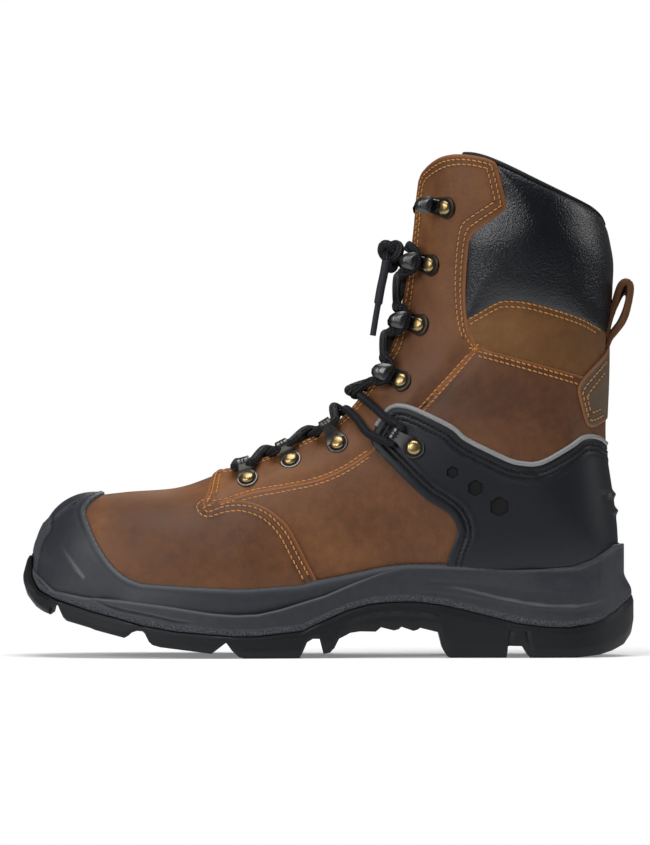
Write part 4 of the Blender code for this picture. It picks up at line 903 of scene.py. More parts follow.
def gridFaces(rowCount, columnCount, closed=False):
    faces = []
    for r in range(rowCount - 1):
        for c in range(columnCount if closed else columnCount - 1):
            n = (c + 1) % columnCount
            faces.append((r * columnCount + c, r * columnCount + n, (r + 1) * columnCount + n,
                          (r + 1) * columnCount + c))
    return faces


def sweep(name, path, normals, outline):  # an outline of (across, up) pairs along a path, closed at both ends
    path, up = np.asarray(path, float), np.asarray(normals, float)
    along = unit(np.gradient(path, axis=0))
    up = unit(up - along * (up * along).sum(axis=1)[:, None])
    sideways = np.cross(along, up)
    count = len(outline)
    verts = [path[k] + sideways[k] * a + up[k] * b for k in range(len(path)) for a, b in outline]
    ends = [tuple(range(count))[::-1], tuple(range((len(path) - 1) * count, len(path) * count))]
    return newMesh(name, verts, gridFaces(len(path), count, True) + ends)


def circle(radius, count):
    return [(radius * math.cos(a), radius * math.sin(a)) for a in np.arange(count) * 2 * math.pi / count]


def roundBack(line, step):  # a side-view line of both sides, joined at the back
    one = flat(line, outer, True)
    one = one[:np.nonzero(np.abs(one[:, 1]) > 0.05)[0][-1] + 1]
    return placed(evenRun(np.concatenate([one, one[::-1] * (1, -1)]), step), True)


# Piping round the counter's top edge
piping = {"radius": 1.3, "lift": 1.9, "from": 24.0}
pipePos, pipeNormal = roundBack(side["counterTop"][side["counterTop"][:, 0] > piping["from"]], 1.2)
pipe = sweep("counter_pipe", pipePos + pipeNormal * piping["lift"], pipeNormal, circle(piping["radius"], 12))
settle(pipe, "piping", "piping", "counter_piping")

# Heel patch with a stitched border
patchEdge = patchLine[np.abs(patchLine[:, 1]) > 0.5]
patchEdge = np.concatenate([[(patchEdge[0, 0], 0.0)], patchEdge, [(patchEdge[-1, 0], 0.0)]])
pastBack = [(patchEdge[-1, 0], 8.0), (patchEdge[0, 0], 8.0)]  # past the back line, so that rows meet there
patchRows = [setIn(patchEdge, np.concatenate([patchEdge, pastBack]), d) for d in (2.6, 5.2)]
patchSewn = [raised(run * (1, sign), 2.8, True) for run in patchRows for sign in (1, -1)]
leatherPanel("heel_patch_panel", bothSides(side["patch"], True), panels["patch"], patchSewn,
             (0.35, 0.8, 1.5, 2.3, 3.0, 3.7, 4.6, 5.4, 6.0, 6.7), ["heel_patch"], dark=patchSewn,
             finish=("patch", "leather"), back=True, spacing=1.8)


# Stitches: small rounded dashes, a little sunk
thread = {"pitch": 2.9, "length": 2.3, "width": 0.66}
counterThread = {"pitch": 2.3, "length": 1.6, "width": 0.7}
stitchRings = ((-0.5, 0.30, -0.30), (-0.40, 0.5, 0.10), (0.0, 0.56, 0.24), (0.40, 0.5, 0.10), (0.5, 0.30, -0.30))
stitchArch = ((-1.0, -0.5), (-0.7, 0.45), (0.0, 0.8), (0.7, 0.45), (1.0, -0.5))


def stitchMesh(name, runs, size, material, slot):
    pitch, length, width = size["pitch"], size["length"], size["width"]
    verts, faces = [], []
    for pos, normal in runs:
        run = runOf(pos)
        count = int(run[-1] // pitch)
        for n in range(count):
            start = n * pitch + (pitch - length) / 2
            ends = [pointAt(pos, run, start + length * t) for t in (0.0, 0.5, 1.0)]
            up = pointAt(normal, run, start + length / 2)
            along = ends[2] - ends[0]
            reach = np.linalg.norm(along)
            if reach < length * 0.6:
                continue
            along /= reach
            sideways = np.cross(along, up)
            slant = along + sideways * 0.12
            first = len(verts)
            for t, wide, high in stitchRings:
                middle = ends[1] + slant * (t * length)
                verts += [middle + sideways * (a * width * wide) + up * ((b * 0.42 + high) * width) for a,
                          b in stitchArch]
            faces += [tuple(first + i for i in face) for face in gridFaces(len(stitchRings), len(stitchArch))]
    return settle(newMesh(name, verts, faces), material, slot)


leatherNames = ("upper_wall", "vamp", "facing", "shaft", "ankle", "heel_patch")
leatherTrees = [treeOf(piece) for piece in settled if piece.name.startswith(leatherNames)]
counterTree = [treeOf(counterPiece)]


def onTop(pos, normal, trees, sink=0.0):  # the outermost surface under each point
    found = []
    for p, n in zip(pos, normal):
        p, n = Vector(p), Vector(n)
        hits = [tree.ray_cast(p + n * 7.0, -n, 12.0) for tree in trees]
        reach = [h[3] for h in hits if h[0] is not None]
        found.append(p + n * (7.0 - min(reach) - sink) if reach else p)
    return np.array(found)


threadRuns = []
for run, back in [(run, False) for run in stitchRuns.values()] + [(run, True) for run in patchRows]:
    for sign in (1, -1):
        pos, normal = placed(run * (1, sign), back)
        threadRuns.append((onTop(pos, normal, leatherTrees, -0.05), normal))
stitchMesh("stitching", threadRuns, thread, "thread", "leather")
counterRuns = []
counterEdge = np.concatenate([side["counterTop"][side["counterTop"][:, 0] < 150][::-1], side["counterFront"][1:]])
for s in (outer, inner):
    edgePos, edgeNormal = placed(flat(evenRun(counterEdge, 1.0), s, True), True)
    sideways = unit(np.cross(np.gradient(edgePos, axis=0), edgeNormal))
    counterMiddle = (100.0, 36.0 * s, 70.0)
    for groove in counter["grooves"]:
        moved = min([edgePos + sideways * groove, edgePos - sideways * groove],
                    key=lambda p: np.linalg.norm(p - counterMiddle, axis=1).sum())
        gap, _ = nearest(moved, edgePos)
        keep = gap > groove * 0.93
        counterRuns.append((onTop(moved[keep], edgeNormal[keep], counterTree, -0.1), edgeNormal[keep]))
stitchMesh("counter_stitching", counterRuns, counterThread, "binding", "counter")
print("stitches ready")

# Lining, binding and tongue
lining = {"spacing": 4.5, "bindingHeight": 1.4, "bindingDepth": 3.3, "bindingSink": 2.6, "bindingFrom": 67.0}


def liningLift(pos, d, place):
    return -upper["wall"] - upper["collarStep"] * collarDepth(pos)


liningPiece = twoHalves("upper_lining", baseOutline, liningLift, spacing=lining["spacing"], insets=(), edgeStep=2.4,
                        wall=False)
settle(liningPiece, "lining", "upper", "upper")
bindPos, bindNormal = roundBack(side["topline"][side["topline"][:, 0] > lining["bindingFrom"]], 1.6)
bindShape = [(lining["bindingHeight"] * a, lining["bindingDepth"] * b) for a, b in circle(1.0, 16)]
binding = sweep("collar_binding", bindPos - bindNormal * lining["bindingSink"], bindNormal, bindShape)
settle(binding, "binding", "collar", "upper")

tongue = {"depth": 3.2, "thickness": 3.4}
tongueLine = np.array([(-64, 100), (-60, 88), (-20, 96), (16, 111), (44, 148), (60, 190), (65, 220), (66, 238),
                       (58, 242.5), (46, 243), (30, 244)])


def tongueLift(pos, d, place):
    return -tongue["depth"] - 1.3 + 1.3 * np.sqrt(np.clip(d / 4.0, 0, 1))


def tongueBack(pos, d, place):
    return np.full(len(pos), -tongue["depth"] - tongue["thickness"])


tongueOutline = bothSides(smoothRun(tongueLine, 1.5), False)
front = makePanel("tongue front", tongueOutline, tongueLift, spacing=4.0, insets=(1.0, 2.2), edgeStep=1.6,
                  base=-tongue["depth"] - tongue["thickness"])
rear = makePanel("tongue rear", tongueOutline, tongueBack, spacing=5.0, insets=(), edgeStep=1.6, wall=False)
tonguePiece = joined("tongue_cushion", [front, rear])
settle(tonguePiece, "lining", "tongue", "tongue")

insole = bpy.data.objects["insole"]
insole.data.materials.clear()
insole.data.materials.append(materials["lining"])

# Pull loop: a leather strap, its side view read off the photo
pull = {"thickness": 1.9, "half": 9, "hole": [(621, 308)], "tilt": 5,
        "run": [(604.5, 347), (609, 324), (612.8, 312), (616, 303), (619.2, 292), (622.3, 284.8),
                (626.5, 281.9), (630.6, 284.3), (631.2, 291), (629.2, 303), (626.5, 314), (622.5, 323),
                (616, 331.5), (610, 339), (606.5, 348)],
        "corners": ((-0.6, -1), (0.6, -1), (1, -0.94), (1, -0.3), (1, 0.3), (1, 0.94), (0.6, 1), (-0.6, 1),
                    (-1, 0.94), (-1, 0.3), (-1, -0.3), (-1, -0.94))}
run = smoothRun([(x, 0.0, z) for x, z in fromPhoto(pull["run"])], 1.0)
shape = [(a * pull["thickness"], b * pull["half"]) for a, b in pull["corners"]]
loop = sweep("pull_strap", run, np.tile((0.0, 1.0, 0.0), (len(run), 1)), shape)
pos = pointsOf(loop)
_, place = nearest(pos, run)
hole = np.array([(x, 0.0, z) for x, z in fromPhoto(pull["hole"])])[0]
sideOn = np.array([1.0, 0.0, 1.0])
fromHole, strapFromHole = (np.linalg.norm((p - hole) * sideOn, axis=1) for p in (pos, run[place]))
inFace = fromHole < strapFromHole - 0.3
faceOnly = np.abs(pos[:, 1]) < pull["half"] * 0.95
pos[:, 2] -= pull["tilt"] * (pos[:, 1] / pull["half"] + 1) / 2 * ease(pos[:, 2], 172.0, 190.0)
loop.data.vertices.foreach_set("co", (pos * mm).ravel())
attribute(loop, "tone", np.full(len(loop.data.vertices), 0.5))
attribute(loop, "edge", np.full(len(loop.data.vertices), 9.0))
# Painted shade: the strap's inner face round the hole gets the leather's dark seam colour.
attribute(loop, "seam", 1.0 * (inFace & faceOnly))
settle(loop, "leather", "webbing", "pull_loop")
print("collar ready")

# Sole: plan as x, outer and inner half width; side-view lines in photo pixels or millimetres
sole = {
    "halfLength": 155.4, "toeShift": 5, "leanBack": 3.7, "toeForward": 1.7, "toeRun": (120, 150),
    "plan": np.array([(-150, 17, 27), (-140, 32, 38), (-125, 43, 46), (-105, 51.5, 51.5), (-80, 56, 54),
        (-58, 57, 54), (-35, 55, 50.5), (-5, 48.5, 43), (25, 43.5, 39), (55, 41, 38.5), (85, 40.5, 39.5),
        (110, 40.5, 39.5), (130, 36.5, 36), (145, 25, 25)]),
    "ground": [(24.6, 584), (29.3, 597), (39, 607.7), (46, 612), (51.9, 614.3), (53.3, 607.8), (58.4, 604.6),
        (61.6, 605.8), (63.5, 612.9), (65.5, 618), (68, 620.5), (90, 627), (95, 629), (124.5, 636.5), (128.5, 634.3),
        (132.3, 631), (137.4, 629.4), (143.8, 630), (146.4, 632.6), (150.2, 641), (153, 643.5), (160, 645.5),
        (212, 652), (226.8, 641), (233, 649.5), (239.4, 655.2), (245, 656.7), (300, 656.7), (303, 651.4),
        (307.6, 641), (313.3, 637.6), (320, 637.6), (324, 652.5), (330.5, 651.4), (335, 646.8), (339.7, 637.6),
        (344.3, 635.3), (351, 631.8), (360.4, 630.4), (376.4, 630.7), (378.7, 629), (381.6, 626.3), (394.8, 629.6),
        (399.4, 628.4), (402.3, 625.9), (414.3, 630), (418.3, 629), (421.2, 627), (439.6, 631.5), (441.3, 637.6),
        (444.2, 649), (448.8, 655.8), (452, 656.8), (507.3, 656.8), (508.2, 646.3), (510.6, 645), (523.7, 645.3),
        (527.6, 650.3), (531.5, 656.8), (579, 656.8), (602, 654.2), (615, 650.5), (627, 644.8), (633.6, 636),
        (635.1, 628.7)],
    "top": [(24, 556.5), (27, 556.6), (29.4, 563.5), (33.5, 578.5), (41.5, 591), (57, 599.6), (91, 611),
        (120, 618.5), (143, 625), (177, 631), (212, 634), (235, 635.8), (258, 635.8), (281, 633), (303, 630.7),
        (326, 620), (349, 610), (372, 604), (395, 602), (418, 602), (441, 605), (460, 609), (479, 613.7),
        (518, 623.5), (545, 627), (571, 628), (597, 623), (616.5, 612), (635.1, 596)],
    "shoulder": np.array([(-155.4, 50), (-150, 43), (-140, 34), (-125, 31), (-107, 29.6), (-83, 26.4), (-60, 22.8),
        (-48, 21.9), (-36.5, 22.3), (-25, 24.8), (-15, 27.9), (-2, 31.8), (10, 37), (27, 43.6), (38.5, 46),
        (50.5, 46.6), (66, 46.3), (76, 45.3), (95.5, 44.7), (112, 45), (126, 46), (135, 49.4), (143.6, 54.6),
        (147, 56.7), (155.4, 57.2)]),
    "channels": ((-20, -14), (14, 20)), "channelRuns": ((-126, -13), (68, 132)), "channelDepth": 4,
    "archRib": 0.7, "panelGroove": 0.6,
    "archLine": [(345, 623), (358, 618.5), (372, 614.6), (395, 612), (418, 613), (440, 616)],
    "panelLines": ([(511, 630.6), (508.4, 645)], [(527, 630.6), (531, 652)], [(511, 630.6), (527, 630.6)]),
    "grooveTwo": [(75, 589), (100, 600.5), (120, 608), (154, 615), (177, 620), (202, 623)],
    "heelLine": [(418, 591.5), (440, 593.5), (466, 597.5), (505, 604.5), (531, 608.8), (558, 611.2), (584, 611.6),
        (610, 605)],
    "facetHigh": [(415.5, 578.6), (440, 578.8), (479, 582.6), (518, 588.4), (571, 592.6), (610, 590)],
    "facetLow": [(415.5, 579.2), (440, 583.5), (470, 589.5), (499, 596.5), (531, 602.5), (558, 605), (584, 604.5),
        (610, 598)],
}
planTurn = np.arccos(np.clip(-sole["plan"][:, 0] / sole["halfLength"], -1, 1)) / math.pi
loopTurn = np.concatenate([[0.0], planTurn, [1.0], 2 - planTurn[::-1], [2.0]])
loopY = np.concatenate([[sole["toeShift"]], -sole["plan"][:, 1], [0.0], sole["plan"][::-1, 2], [sole["toeShift"]]])
planAt = spline(np.concatenate([loopTurn[-4:-1] - 2, loopTurn, loopTurn[1:4] + 2]),
                np.concatenate([loopY[-4:-1], loopY, loopY[1:4]])[:, None])


def sideLine(points, xs):
    p = np.array(fromPhoto(points)) if not isinstance(points, np.ndarray) else points
    return np.interp(xs, p[:, 0], p[:, 1])


def gapTo(x, z, points):  # side-view distance to a line of photo pixels, and the share along it
    line = smoothRun(fromPhoto(points), 0.5)
    d, place = nearest(level(zip(x, z)), level(line))
    return d, place / (len(line) - 1)


def lineBell(x, z, points, width, fadeIn, fadeOut):  # 1 on a side-view line, fading to its sides and its two ends
    d, along = gapTo(x, z, points)
    return bell(d, width) * ease(along, *fadeIn) * ease(1 - along, 0.0, fadeOut)


endSteps = np.array([0.02, 0.08, 0.18, 0.32, 0.5, 0.75, 1.05, 1.4, 1.8, 2.3, 2.9, 3.6, 4.4, 5.3, 6.4, 7.6])
stations = np.concatenate([np.arange(-147.0, 147.1, 1.5), sole["halfLength"] - endSteps,
                           endSteps - sole["halfLength"],
                           [x for x, _ in fromPhoto(sole["ground"])]])
stations = np.unique(np.round(stations[np.abs(stations) < sole["halfLength"] - 0.01], 3))
stations = stations[np.concatenate([[True], np.diff(stations) > 0.1])]
turnAt = np.arccos(np.clip(-stations / sole["halfLength"], -1, 1)) / math.pi
planOuter, planInner = planAt(turnAt)[:, 0], planAt(2 - turnAt)[:, 0]
planMiddle, planHalf = (planOuter + planInner) / 2, (planInner - planOuter) / 2


def lean(x, z):  # the toe of the sole stands forward and leans back as it rises
    return (sole["leanBack"] * ease(z, 36.0, 56.0) - sole["toeForward"] * ease(-x, *sole["toeRun"])) * (x < 0)


def soleWall(side, standOut, z):  # points of one side wall at every station
    standOut = standOut - lean(stations, z)
    grown = planHalf * (1 + standOut / np.maximum(planHalf, 25.0))
    return np.stack([stations * (1 + standOut / sole["halfLength"]), planMiddle + side * grown, z], axis=1)


def endFaces(station, count, wallCount):  # closes the toe or the heel end between the two side walls
    first = station * count
    faces = [(first + r, first + r + 1, first + count - 2 - r, first + count - 1 - r) for r in range(wallCount - 1)]
    if count > 2 * wallCount:
        faces.append(tuple(range(first + wallCount - 1, first + count - wallCount + 1)))
    return faces


def soleMesh(name, ring, wallCount, closed):  # a ring of points at every station
    grid = np.array(ring).transpose(1, 0, 2)
    ends = [face for station in (0, len(stations) - 1) for face in endFaces(station, len(ring), wallCount)]
    return weld(newMesh(name, grid.reshape(-1, 3), gridFaces(len(stations), len(ring), closed) + ends), 0.000002)


# Outsole with lugs, channels and an arch
ground, soleTop = sideLine(sole["ground"], stations), sideLine(sole["top"], stations)
soleTop = np.maximum(soleTop, ground + 0.4)
shares = np.concatenate([[0.0, 0.04, 0.1], np.linspace(0.17, 1.0, 17)])
profile = np.interp(shares, (0.0, 0.04, 0.12, 0.3, 0.85, 1.0), (-1.7, -1.0, -0.5, 0.0, 0.0, -0.7))
columns = []
for sign in (outer, inner):
    wallRows = []
    for share, out in zip(shares, profile):
        z = ground + (soleTop - ground) * share
        relief = sole["archRib"] * lineBell(stations, z, sole["archLine"], 0.8, (0.0, 0.1), 0.1)
        for points in sole["panelLines"]:
            d, _ = gapTo(stations, z, points)
            relief -= sole["panelGroove"] * bell(d, 0.6)
        wallRows.append(soleWall(sign, out + relief, z))
    columns.append(np.array(wallRows))
lowOuter, lowInner = columns[0][0], columns[1][0]
crossY = [-30.0, -25.0, -20.4, -19.6, -14.4, -13.6, -7.0, 0.0, 7.0, 13.6, 14.4, 19.6, 20.4, 25.0, 30.0]
under = []
for y in crossY:
    yy = np.clip(y, lowOuter[:, 1] + 0.5, lowInner[:, 1] - 0.5)
    z = ground.copy()
    for low, high in sole["channels"]:
        for start, end in sole["channelRuns"]:
            if low < y < high:
                inRun = ease(stations, start, start + 0.5) * ease(-stations, -end, -end + 0.5)
                z += sole["channelDepth"] * inRun * (np.minimum(lowInner[:, 1], -lowOuter[:, 1]) > 24)
    under.append(np.stack([lowOuter[:, 0], yy, np.minimum(z, soleTop - 0.3)], axis=1))
outsole = soleMesh("outsole_tread", list(columns[0][::-1]) + under + list(columns[1]), len(shares), True)
sharpen(outsole)
settle(outsole, "outsole", "outsole", "outsole")

# Midsole: a lower wall on the sole's plan, and a band on the last that rises to the toe guard
midsole = {"lip": 2.8, "toe": 1.5, "heel": 1.1, "flare": 4.4, "rows": 30, "tuck": 2.6, "groove": 0.9,
           "heelGroove": 0.45,
           "facet": 1.3, "heelFrom": 98.0}
atBack = ease(stations, 102.0, 118.0)
wallLow = soleTop + 0.05 - 3.0 * ease(stations, 126.0, 148.0)
wallHigh = np.maximum(sideLine(sole["shoulder"], stations), soleTop + 1.0)
shoulderSize = 1.3 + 2.4 * ease(stations, -5.0, 30.0)
shoulderIn = (1.0 + 0.6 * ease(stations, -5.0, 30.0)) * (1 - atBack)
lastPoints = gridPos[::2, ::3]
lastTree = BVHTree.FromPolygons([tuple(q) for q in lastPoints.reshape(-1, 3)], gridFaces(*lastPoints.shape[:2]))
heelReach = midsole["lip"] + 2.4 * ease(stations, 134.0, 152.0)


def heelInset(sign):  # how far the wall's top steps in at the heel to lie on the upper
    inset = np.full(len(stations), np.nan)
    for step in np.arange(0.0, 14.0, 0.25):
        for k, point in enumerate(soleWall(sign, -1.0 - step, wallHigh)):
            waiting = stations[k] > midsole["heelFrom"] and np.isnan(inset[k])
            if waiting and lastTree.find_nearest(Vector(point))[3] <= heelReach[k]:
                inset[k] = step
    inset = np.where(np.isnan(inset), np.where(stations > midsole["heelFrom"], midsole["flare"], 0.0), inset)
    return np.convolve(np.pad(inset, 3, mode="edge"), np.full(7, 1 / 7), mode="valid")


columns = []
facetTop, facetEnd = sideLine(sole["facetHigh"], stations), sideLine(sole["facetLow"], stations)
wedge = ease(stations, 44.0, 60.0) * ease(-stations, -142.0, -100.0) * ease(facetTop - facetEnd, 0.3, 3.0)
for sign in (outer, inner):
    wallRows = []
    stepIn = heelInset(sign) * atBack
    for share in np.linspace(0.0, 1.0, midsole["rows"]):
        z = wallLow + (wallHigh - wallLow) * share
        up = wallHigh - z
        out = -1.0 - 0.8 * (1 - ease(z - wallLow, 0.0, 1.2)) - shoulderIn * (1 - dome(up / shoulderSize))
        out -= stepIn * ease(z, 33.0, 43.0)
        out -= midsole["groove"] * lineBell(stations, z, sole["grooveTwo"], 0.7, (0.0, 0.2), 0.2)
        out -= midsole["heelGroove"] * lineBell(stations, z, sole["heelLine"], 0.5, (0.0, 0.1), 0.1)
        t = np.clip((facetTop - z) / np.maximum(facetTop - facetEnd, 0.2), 0, 1)
        out -= midsole["facet"] * t * (1 - ease(facetEnd - z, 0.0, 0.9)) * wedge
        wallRows.append(soleWall(sign, out, z))
    z = wallHigh + 0.15
    wallRows.append(soleWall(sign, -3.2 - shoulderIn - stepIn, z))
    wallRows.append(soleWall(sign, np.full(len(stations), -14.0), z))
    columns.append(np.array(wallRows))
lowWall = soleMesh("midsole_wall", list(columns[0][::-1]) + list(columns[1]), len(columns[0]), False)
pos = pointsOf(lowWall)
x, z = pos[:, 0], pos[:, 2]
low, high = np.interp(x, stations, soleTop), np.interp(x, stations, wallHigh)
# Painted light and shade on the wall: light beads under the shoulder and the heel rim, a light edge above groove two
# and along the facet's low line, painted shade in groove two and on the undercut facet.
shade = 0.3 * bell(high - z - 0.7, 0.6) * ease(-x, -30.0, 0.0)
shade += 0.3 * bell(high - z - 1.0, 0.7) * ease(x, 100.0, 116.0)
shade += 0.5 * lineBell(x, z - 0.9, sole["grooveTwo"], 0.5, (0.1, 0.3), 0.2)
shade -= 0.9 * lineBell(x, z, sole["grooveTwo"], 0.7, (0.1, 0.3), 0.2)
gap, along = gapTo(x, z, sole["facetLow"])
shade += 0.5 * bell(gap - 0.3, 0.5) * ease(along, 0.1, 0.3) * ease(1 - along, 0.0, 0.2)
onFacet = ease(sideLine(sole["facetHigh"], x) - z, 0.0, 1.2) * ease(z - sideLine(sole["facetLow"], x), 0.0, 1.0)
shade -= 0.5 * onFacet * ease(x, 50.0, 66.0) * ease(-x, -138.0, -110.0)
attribute(lowWall, "mark", np.clip(shade, -1, 1))
attribute(lowWall, "stipple", ease(z - low, 0.2, 0.8) * ease(low + 4.4 - z, 0.0, 1.6))
settle(lowWall, "midsole", "midsole", "midsole")

# Toe guard and band
guard = {
    "top": ((-114.5, 0), (-115.2, 6), (-117, 12), (-119.4, 17.2), (-121.4, 21.5)),
    "slit": [(58, 528), (67, 518.5), (79, 510)], "ray": [(62, 544), (73, 559), (85.5, 576.5)],
    "bumper": [(56, 507), (53.3, 512), (53.3, 530), (45.6, 541.4), (40.5, 559.3), (39.2, 578.4), (40, 600)],
}
soleRun = np.array(fromPhoto(sole["top"]))
bandLow = np.array([(x, z - 3.0) for x, z in soleRun if -153.0 < x < 128.0])
bandLow = np.concatenate([bandLow[(bandLow[:, 0] < -20)],
                          [(10.0, 28.0), (30.0, 33.0), (60.0, 36.5), (100.0, 37.0), (128.0, 38.5), (146.0, 41.0)]])
rimRun = side["rim"][side["rim"][:, 0] < 147.0]
topS = seen([(x, 60.0) for x, _ in guard["top"]])[:, 0]
topFlat = np.stack([topS, -across(topS, [y for _, y in guard["top"]]) * girth], axis=1)
lowGuard = flat(side["guardEdge"][side["guardEdge"][:, 1] < 72.0], outer)
edgeFlat = np.concatenate([smoothRun(np.concatenate([topFlat, lowGuard[::8]]), 0.8), flat(rimRun[1:], outer)])
edgeFlat[0, 1] = 0.0
slitRun = smoothRun(fromPhoto(guard["slit"]), 0.4)
slitLines = np.concatenate(onBoth(slitRun))
lowFlat = flat(smoothRun(bandLow[::-1], 1.5), outer)
rimBack = seen([(160.0, 58.2)])[0, 0]
lowBack = seen([(160.0, 42.0)])[0, 0]
bandOutline = np.concatenate([edgeFlat, [(rimBack, -girth)], [(lowBack, -girth)], lowFlat, [(0.0, lowFlat[-1, 1])],
                              [(0.0, 0.0)]])
edgeRun = evenRun(edgeFlat, 0.7)
edgeToBack = np.concatenate([edgeRun, [(rimBack, -girth)]])
edgeBoth = np.concatenate([placed(edgeToBack * (1, sign))[0] for sign in (1, -1)])
edgeRaised = np.concatenate([raised(edgeRun * (1, sign), 1.1) for sign in (1, -1)])
planLoop = np.concatenate([soleWall(outer, -1.0, 0 * stations), soleWall(inner, -1.0, 0 * stations)[::-1]])


def aheadOfBumper(x, z, start, end):  # share in front of the bumper's rear line
    line = np.array(fromPhoto(guard["bumper"]))[::-1]
    return ease(np.interp(z, line[:, 1], line[:, 0]) - x, start, end) * ease(-z, -76.5, -74.0)


def bandLift(pos, d, place):
    x, z = pos[:, 0], pos[:, 2]
    reach, _ = nearest(np.stack([x, pos[:, 1], 0 * x], axis=1), planLoop)
    tuck = midsole["tuck"] * ease(-x, *sole["toeRun"]) * ease(-z, -54.0, -48.5)  # behind the toe of the tread
    reach = np.maximum(reach * inside(pos[:, :2], planLoop[:, :2]) - lean(x, z) - tuck, 0.0)
    gap, _ = nearest(pos, edgeBoth)
    height = midsole["lip"] + midsole["toe"] * ease(-x, 108.0, 128.0) + midsole["heel"] * ease(x, 118.0, 142.0)
    onGuard = ease(-x, 92.0, 108.0)
    atEdge = 0.30 + 0.32 * onGuard
    height = height * (atEdge + (1 - atEdge) * dome(gap / 2.0))
    height += 0.42 * onGuard * (bell(gap - 1.5, 0.9) - 0.5 * bell(gap - 3.4, 0.9))
    height -= 0.25 * (1 - onGuard) * bell(gap - 3.6, 1.2)
    near, place = nearest(pos, slitLines)
    along = (place % (len(slitLines) // 2)) / (len(slitLines) // 2)
    height -= 1.5 * bell(near, 1.1, 4) * np.sin(np.clip(along, 0.02, 0.98) * math.pi) ** 0.4
    height += 0.5 * lineBell(x, z, guard["ray"], 0.9, (0.0, 0.9), 0.08)
    height += aheadOfBumper(x, z, -0.6, 0.9)
    shoulder, low = np.interp(x, stations, wallHigh), np.interp(x, stations, soleTop)
    rim = np.interp(x, side["rim"][:, 0], side["rim"][:, 1])
    atHeel, atToe = ease(x, 15.0, 50.0), ease(-x, 118.0, 138.0)
    share = np.clip((rim - 2.0 - z) / np.maximum(rim - 2.0 - shoulder + 1.0, 1.0), 0, 1) ** 1.3
    share = share * (1 - ease(-x, 96.0, 112.0)) * (1 - ease(x, 106.0, 122.0))
    share = np.maximum(share, atToe * np.clip((low + 31.0 - z) / 29.5, 0, 1) ** 1.3)
    gapLeft = 0.6 * (1 - atHeel) * (1 - atToe)
    return height + np.clip(reach - gapLeft - height, 0.0, 9.0) * share


band = twoHalves("midsole_band", bandOutline, bandLift, spacing=1.05, edgeStep=0.9,
                 insets=(0.4, 0.9, 1.5, 2.2, 3.0, 3.8, 4.8), base=0.2)
pos = pointsOf(band)
x, aboveTread = pos[:, 0], np.interp(pos[:, 0], stations, soleTop) - 2.0
z = pos[:, 2] = np.where(x < -90, np.maximum(pos[:, 2], aboveTread), pos[:, 2])
band.data.vertices.foreach_set("co", (pos * mm).ravel())
gap, _ = nearest(pos, edgeRaised)
onGuard = ease(-x, 92.0, 108.0)
# Painted light and shade on the band: a light bead inside the rim and guard edge, a dark line at the edge against the
# leather, a light ray, a dark slit with a light rim, a lighter bumper with a dark line behind it.
shade = (0.35 + 0.25 * onGuard) * bell(gap - 1.9, 0.7)
shade -= (0.8 - 0.4 * ease(x, 40.0, 60.0)) * bell(gap, 0.7)
near, along = gapTo(x, z, guard["ray"])
shade += 0.9 * bell(near, 0.55) * ease(along, 0.0, 0.9)
near, _ = nearest(pos, np.concatenate(onBoth(slitRun, lift=3.2)))
shade += 0.3 * bell(near - 2.0, 0.5) - 0.8 * bell(near, 1.1, 4)
near, along = gapTo(x, z, guard["bumper"])
shade += 0.2 * aheadOfBumper(x, z, -0.3, 0.6) - 0.5 * bell(near, 0.6) * ease(1 - along, 0.0, 0.1)
attribute(band, "mark", np.clip(shade, -1, 1))
attribute(band, "stipple", np.zeros(len(pos)))
settle(band, "midsole", "midsole", "midsole")
print("sole ready", len(outsole.data.polygons), len(lowWall.data.polygons), len(band.data.polygons))

# Lace fittings from the top down: rivet x and z, then the tip, in the side view
fittings = {
    "hooks": ((59.8, 227.8, 49.8, 230.2), (52.2, 198.8, 41.9, 202.2), (46.5, 168.4, 36.8, 171),
              (37.2, 139.7, 27.2, 144.4)),
    "loops": ((43, 105.8, 30.6, 114), (4.8, 107.4, -2.1, 120.1), (-19.2, 98.7, -25.6, 107.7),
              (-41, 89.2, -42.8, 98.9)),
    "panel": 1.75, "counter": 2.3, "plate": 1, "rivetRadius": 3.75, "rivetHeight": 2.1, "loopRadius": 3.3,
    "leastLoop": 11.4,
    "rivetSteps": ((1, 0), (1, 0.22), (0.97, 0.45), (0.88, 0.66), (0.72, 0.84), (0.5, 0.95), (0.25, 1)),
}


def fitFrame(row, s, lift, turned):  # origin at the rivet on the panel, forward to the tip, across, up
    pos, normal = placed(flat([row[:2], row[2:]], s))
    up = normal[0] * (1 - turned) + np.array([0.0, s, 0.0]) * turned
    up /= np.linalg.norm(up)
    forward = pos[1] - pos[0]
    forward = forward - up * forward.dot(up)
    forward /= np.linalg.norm(forward)
    return pos[0] + up * lift, forward, np.cross(up, forward) * s, up


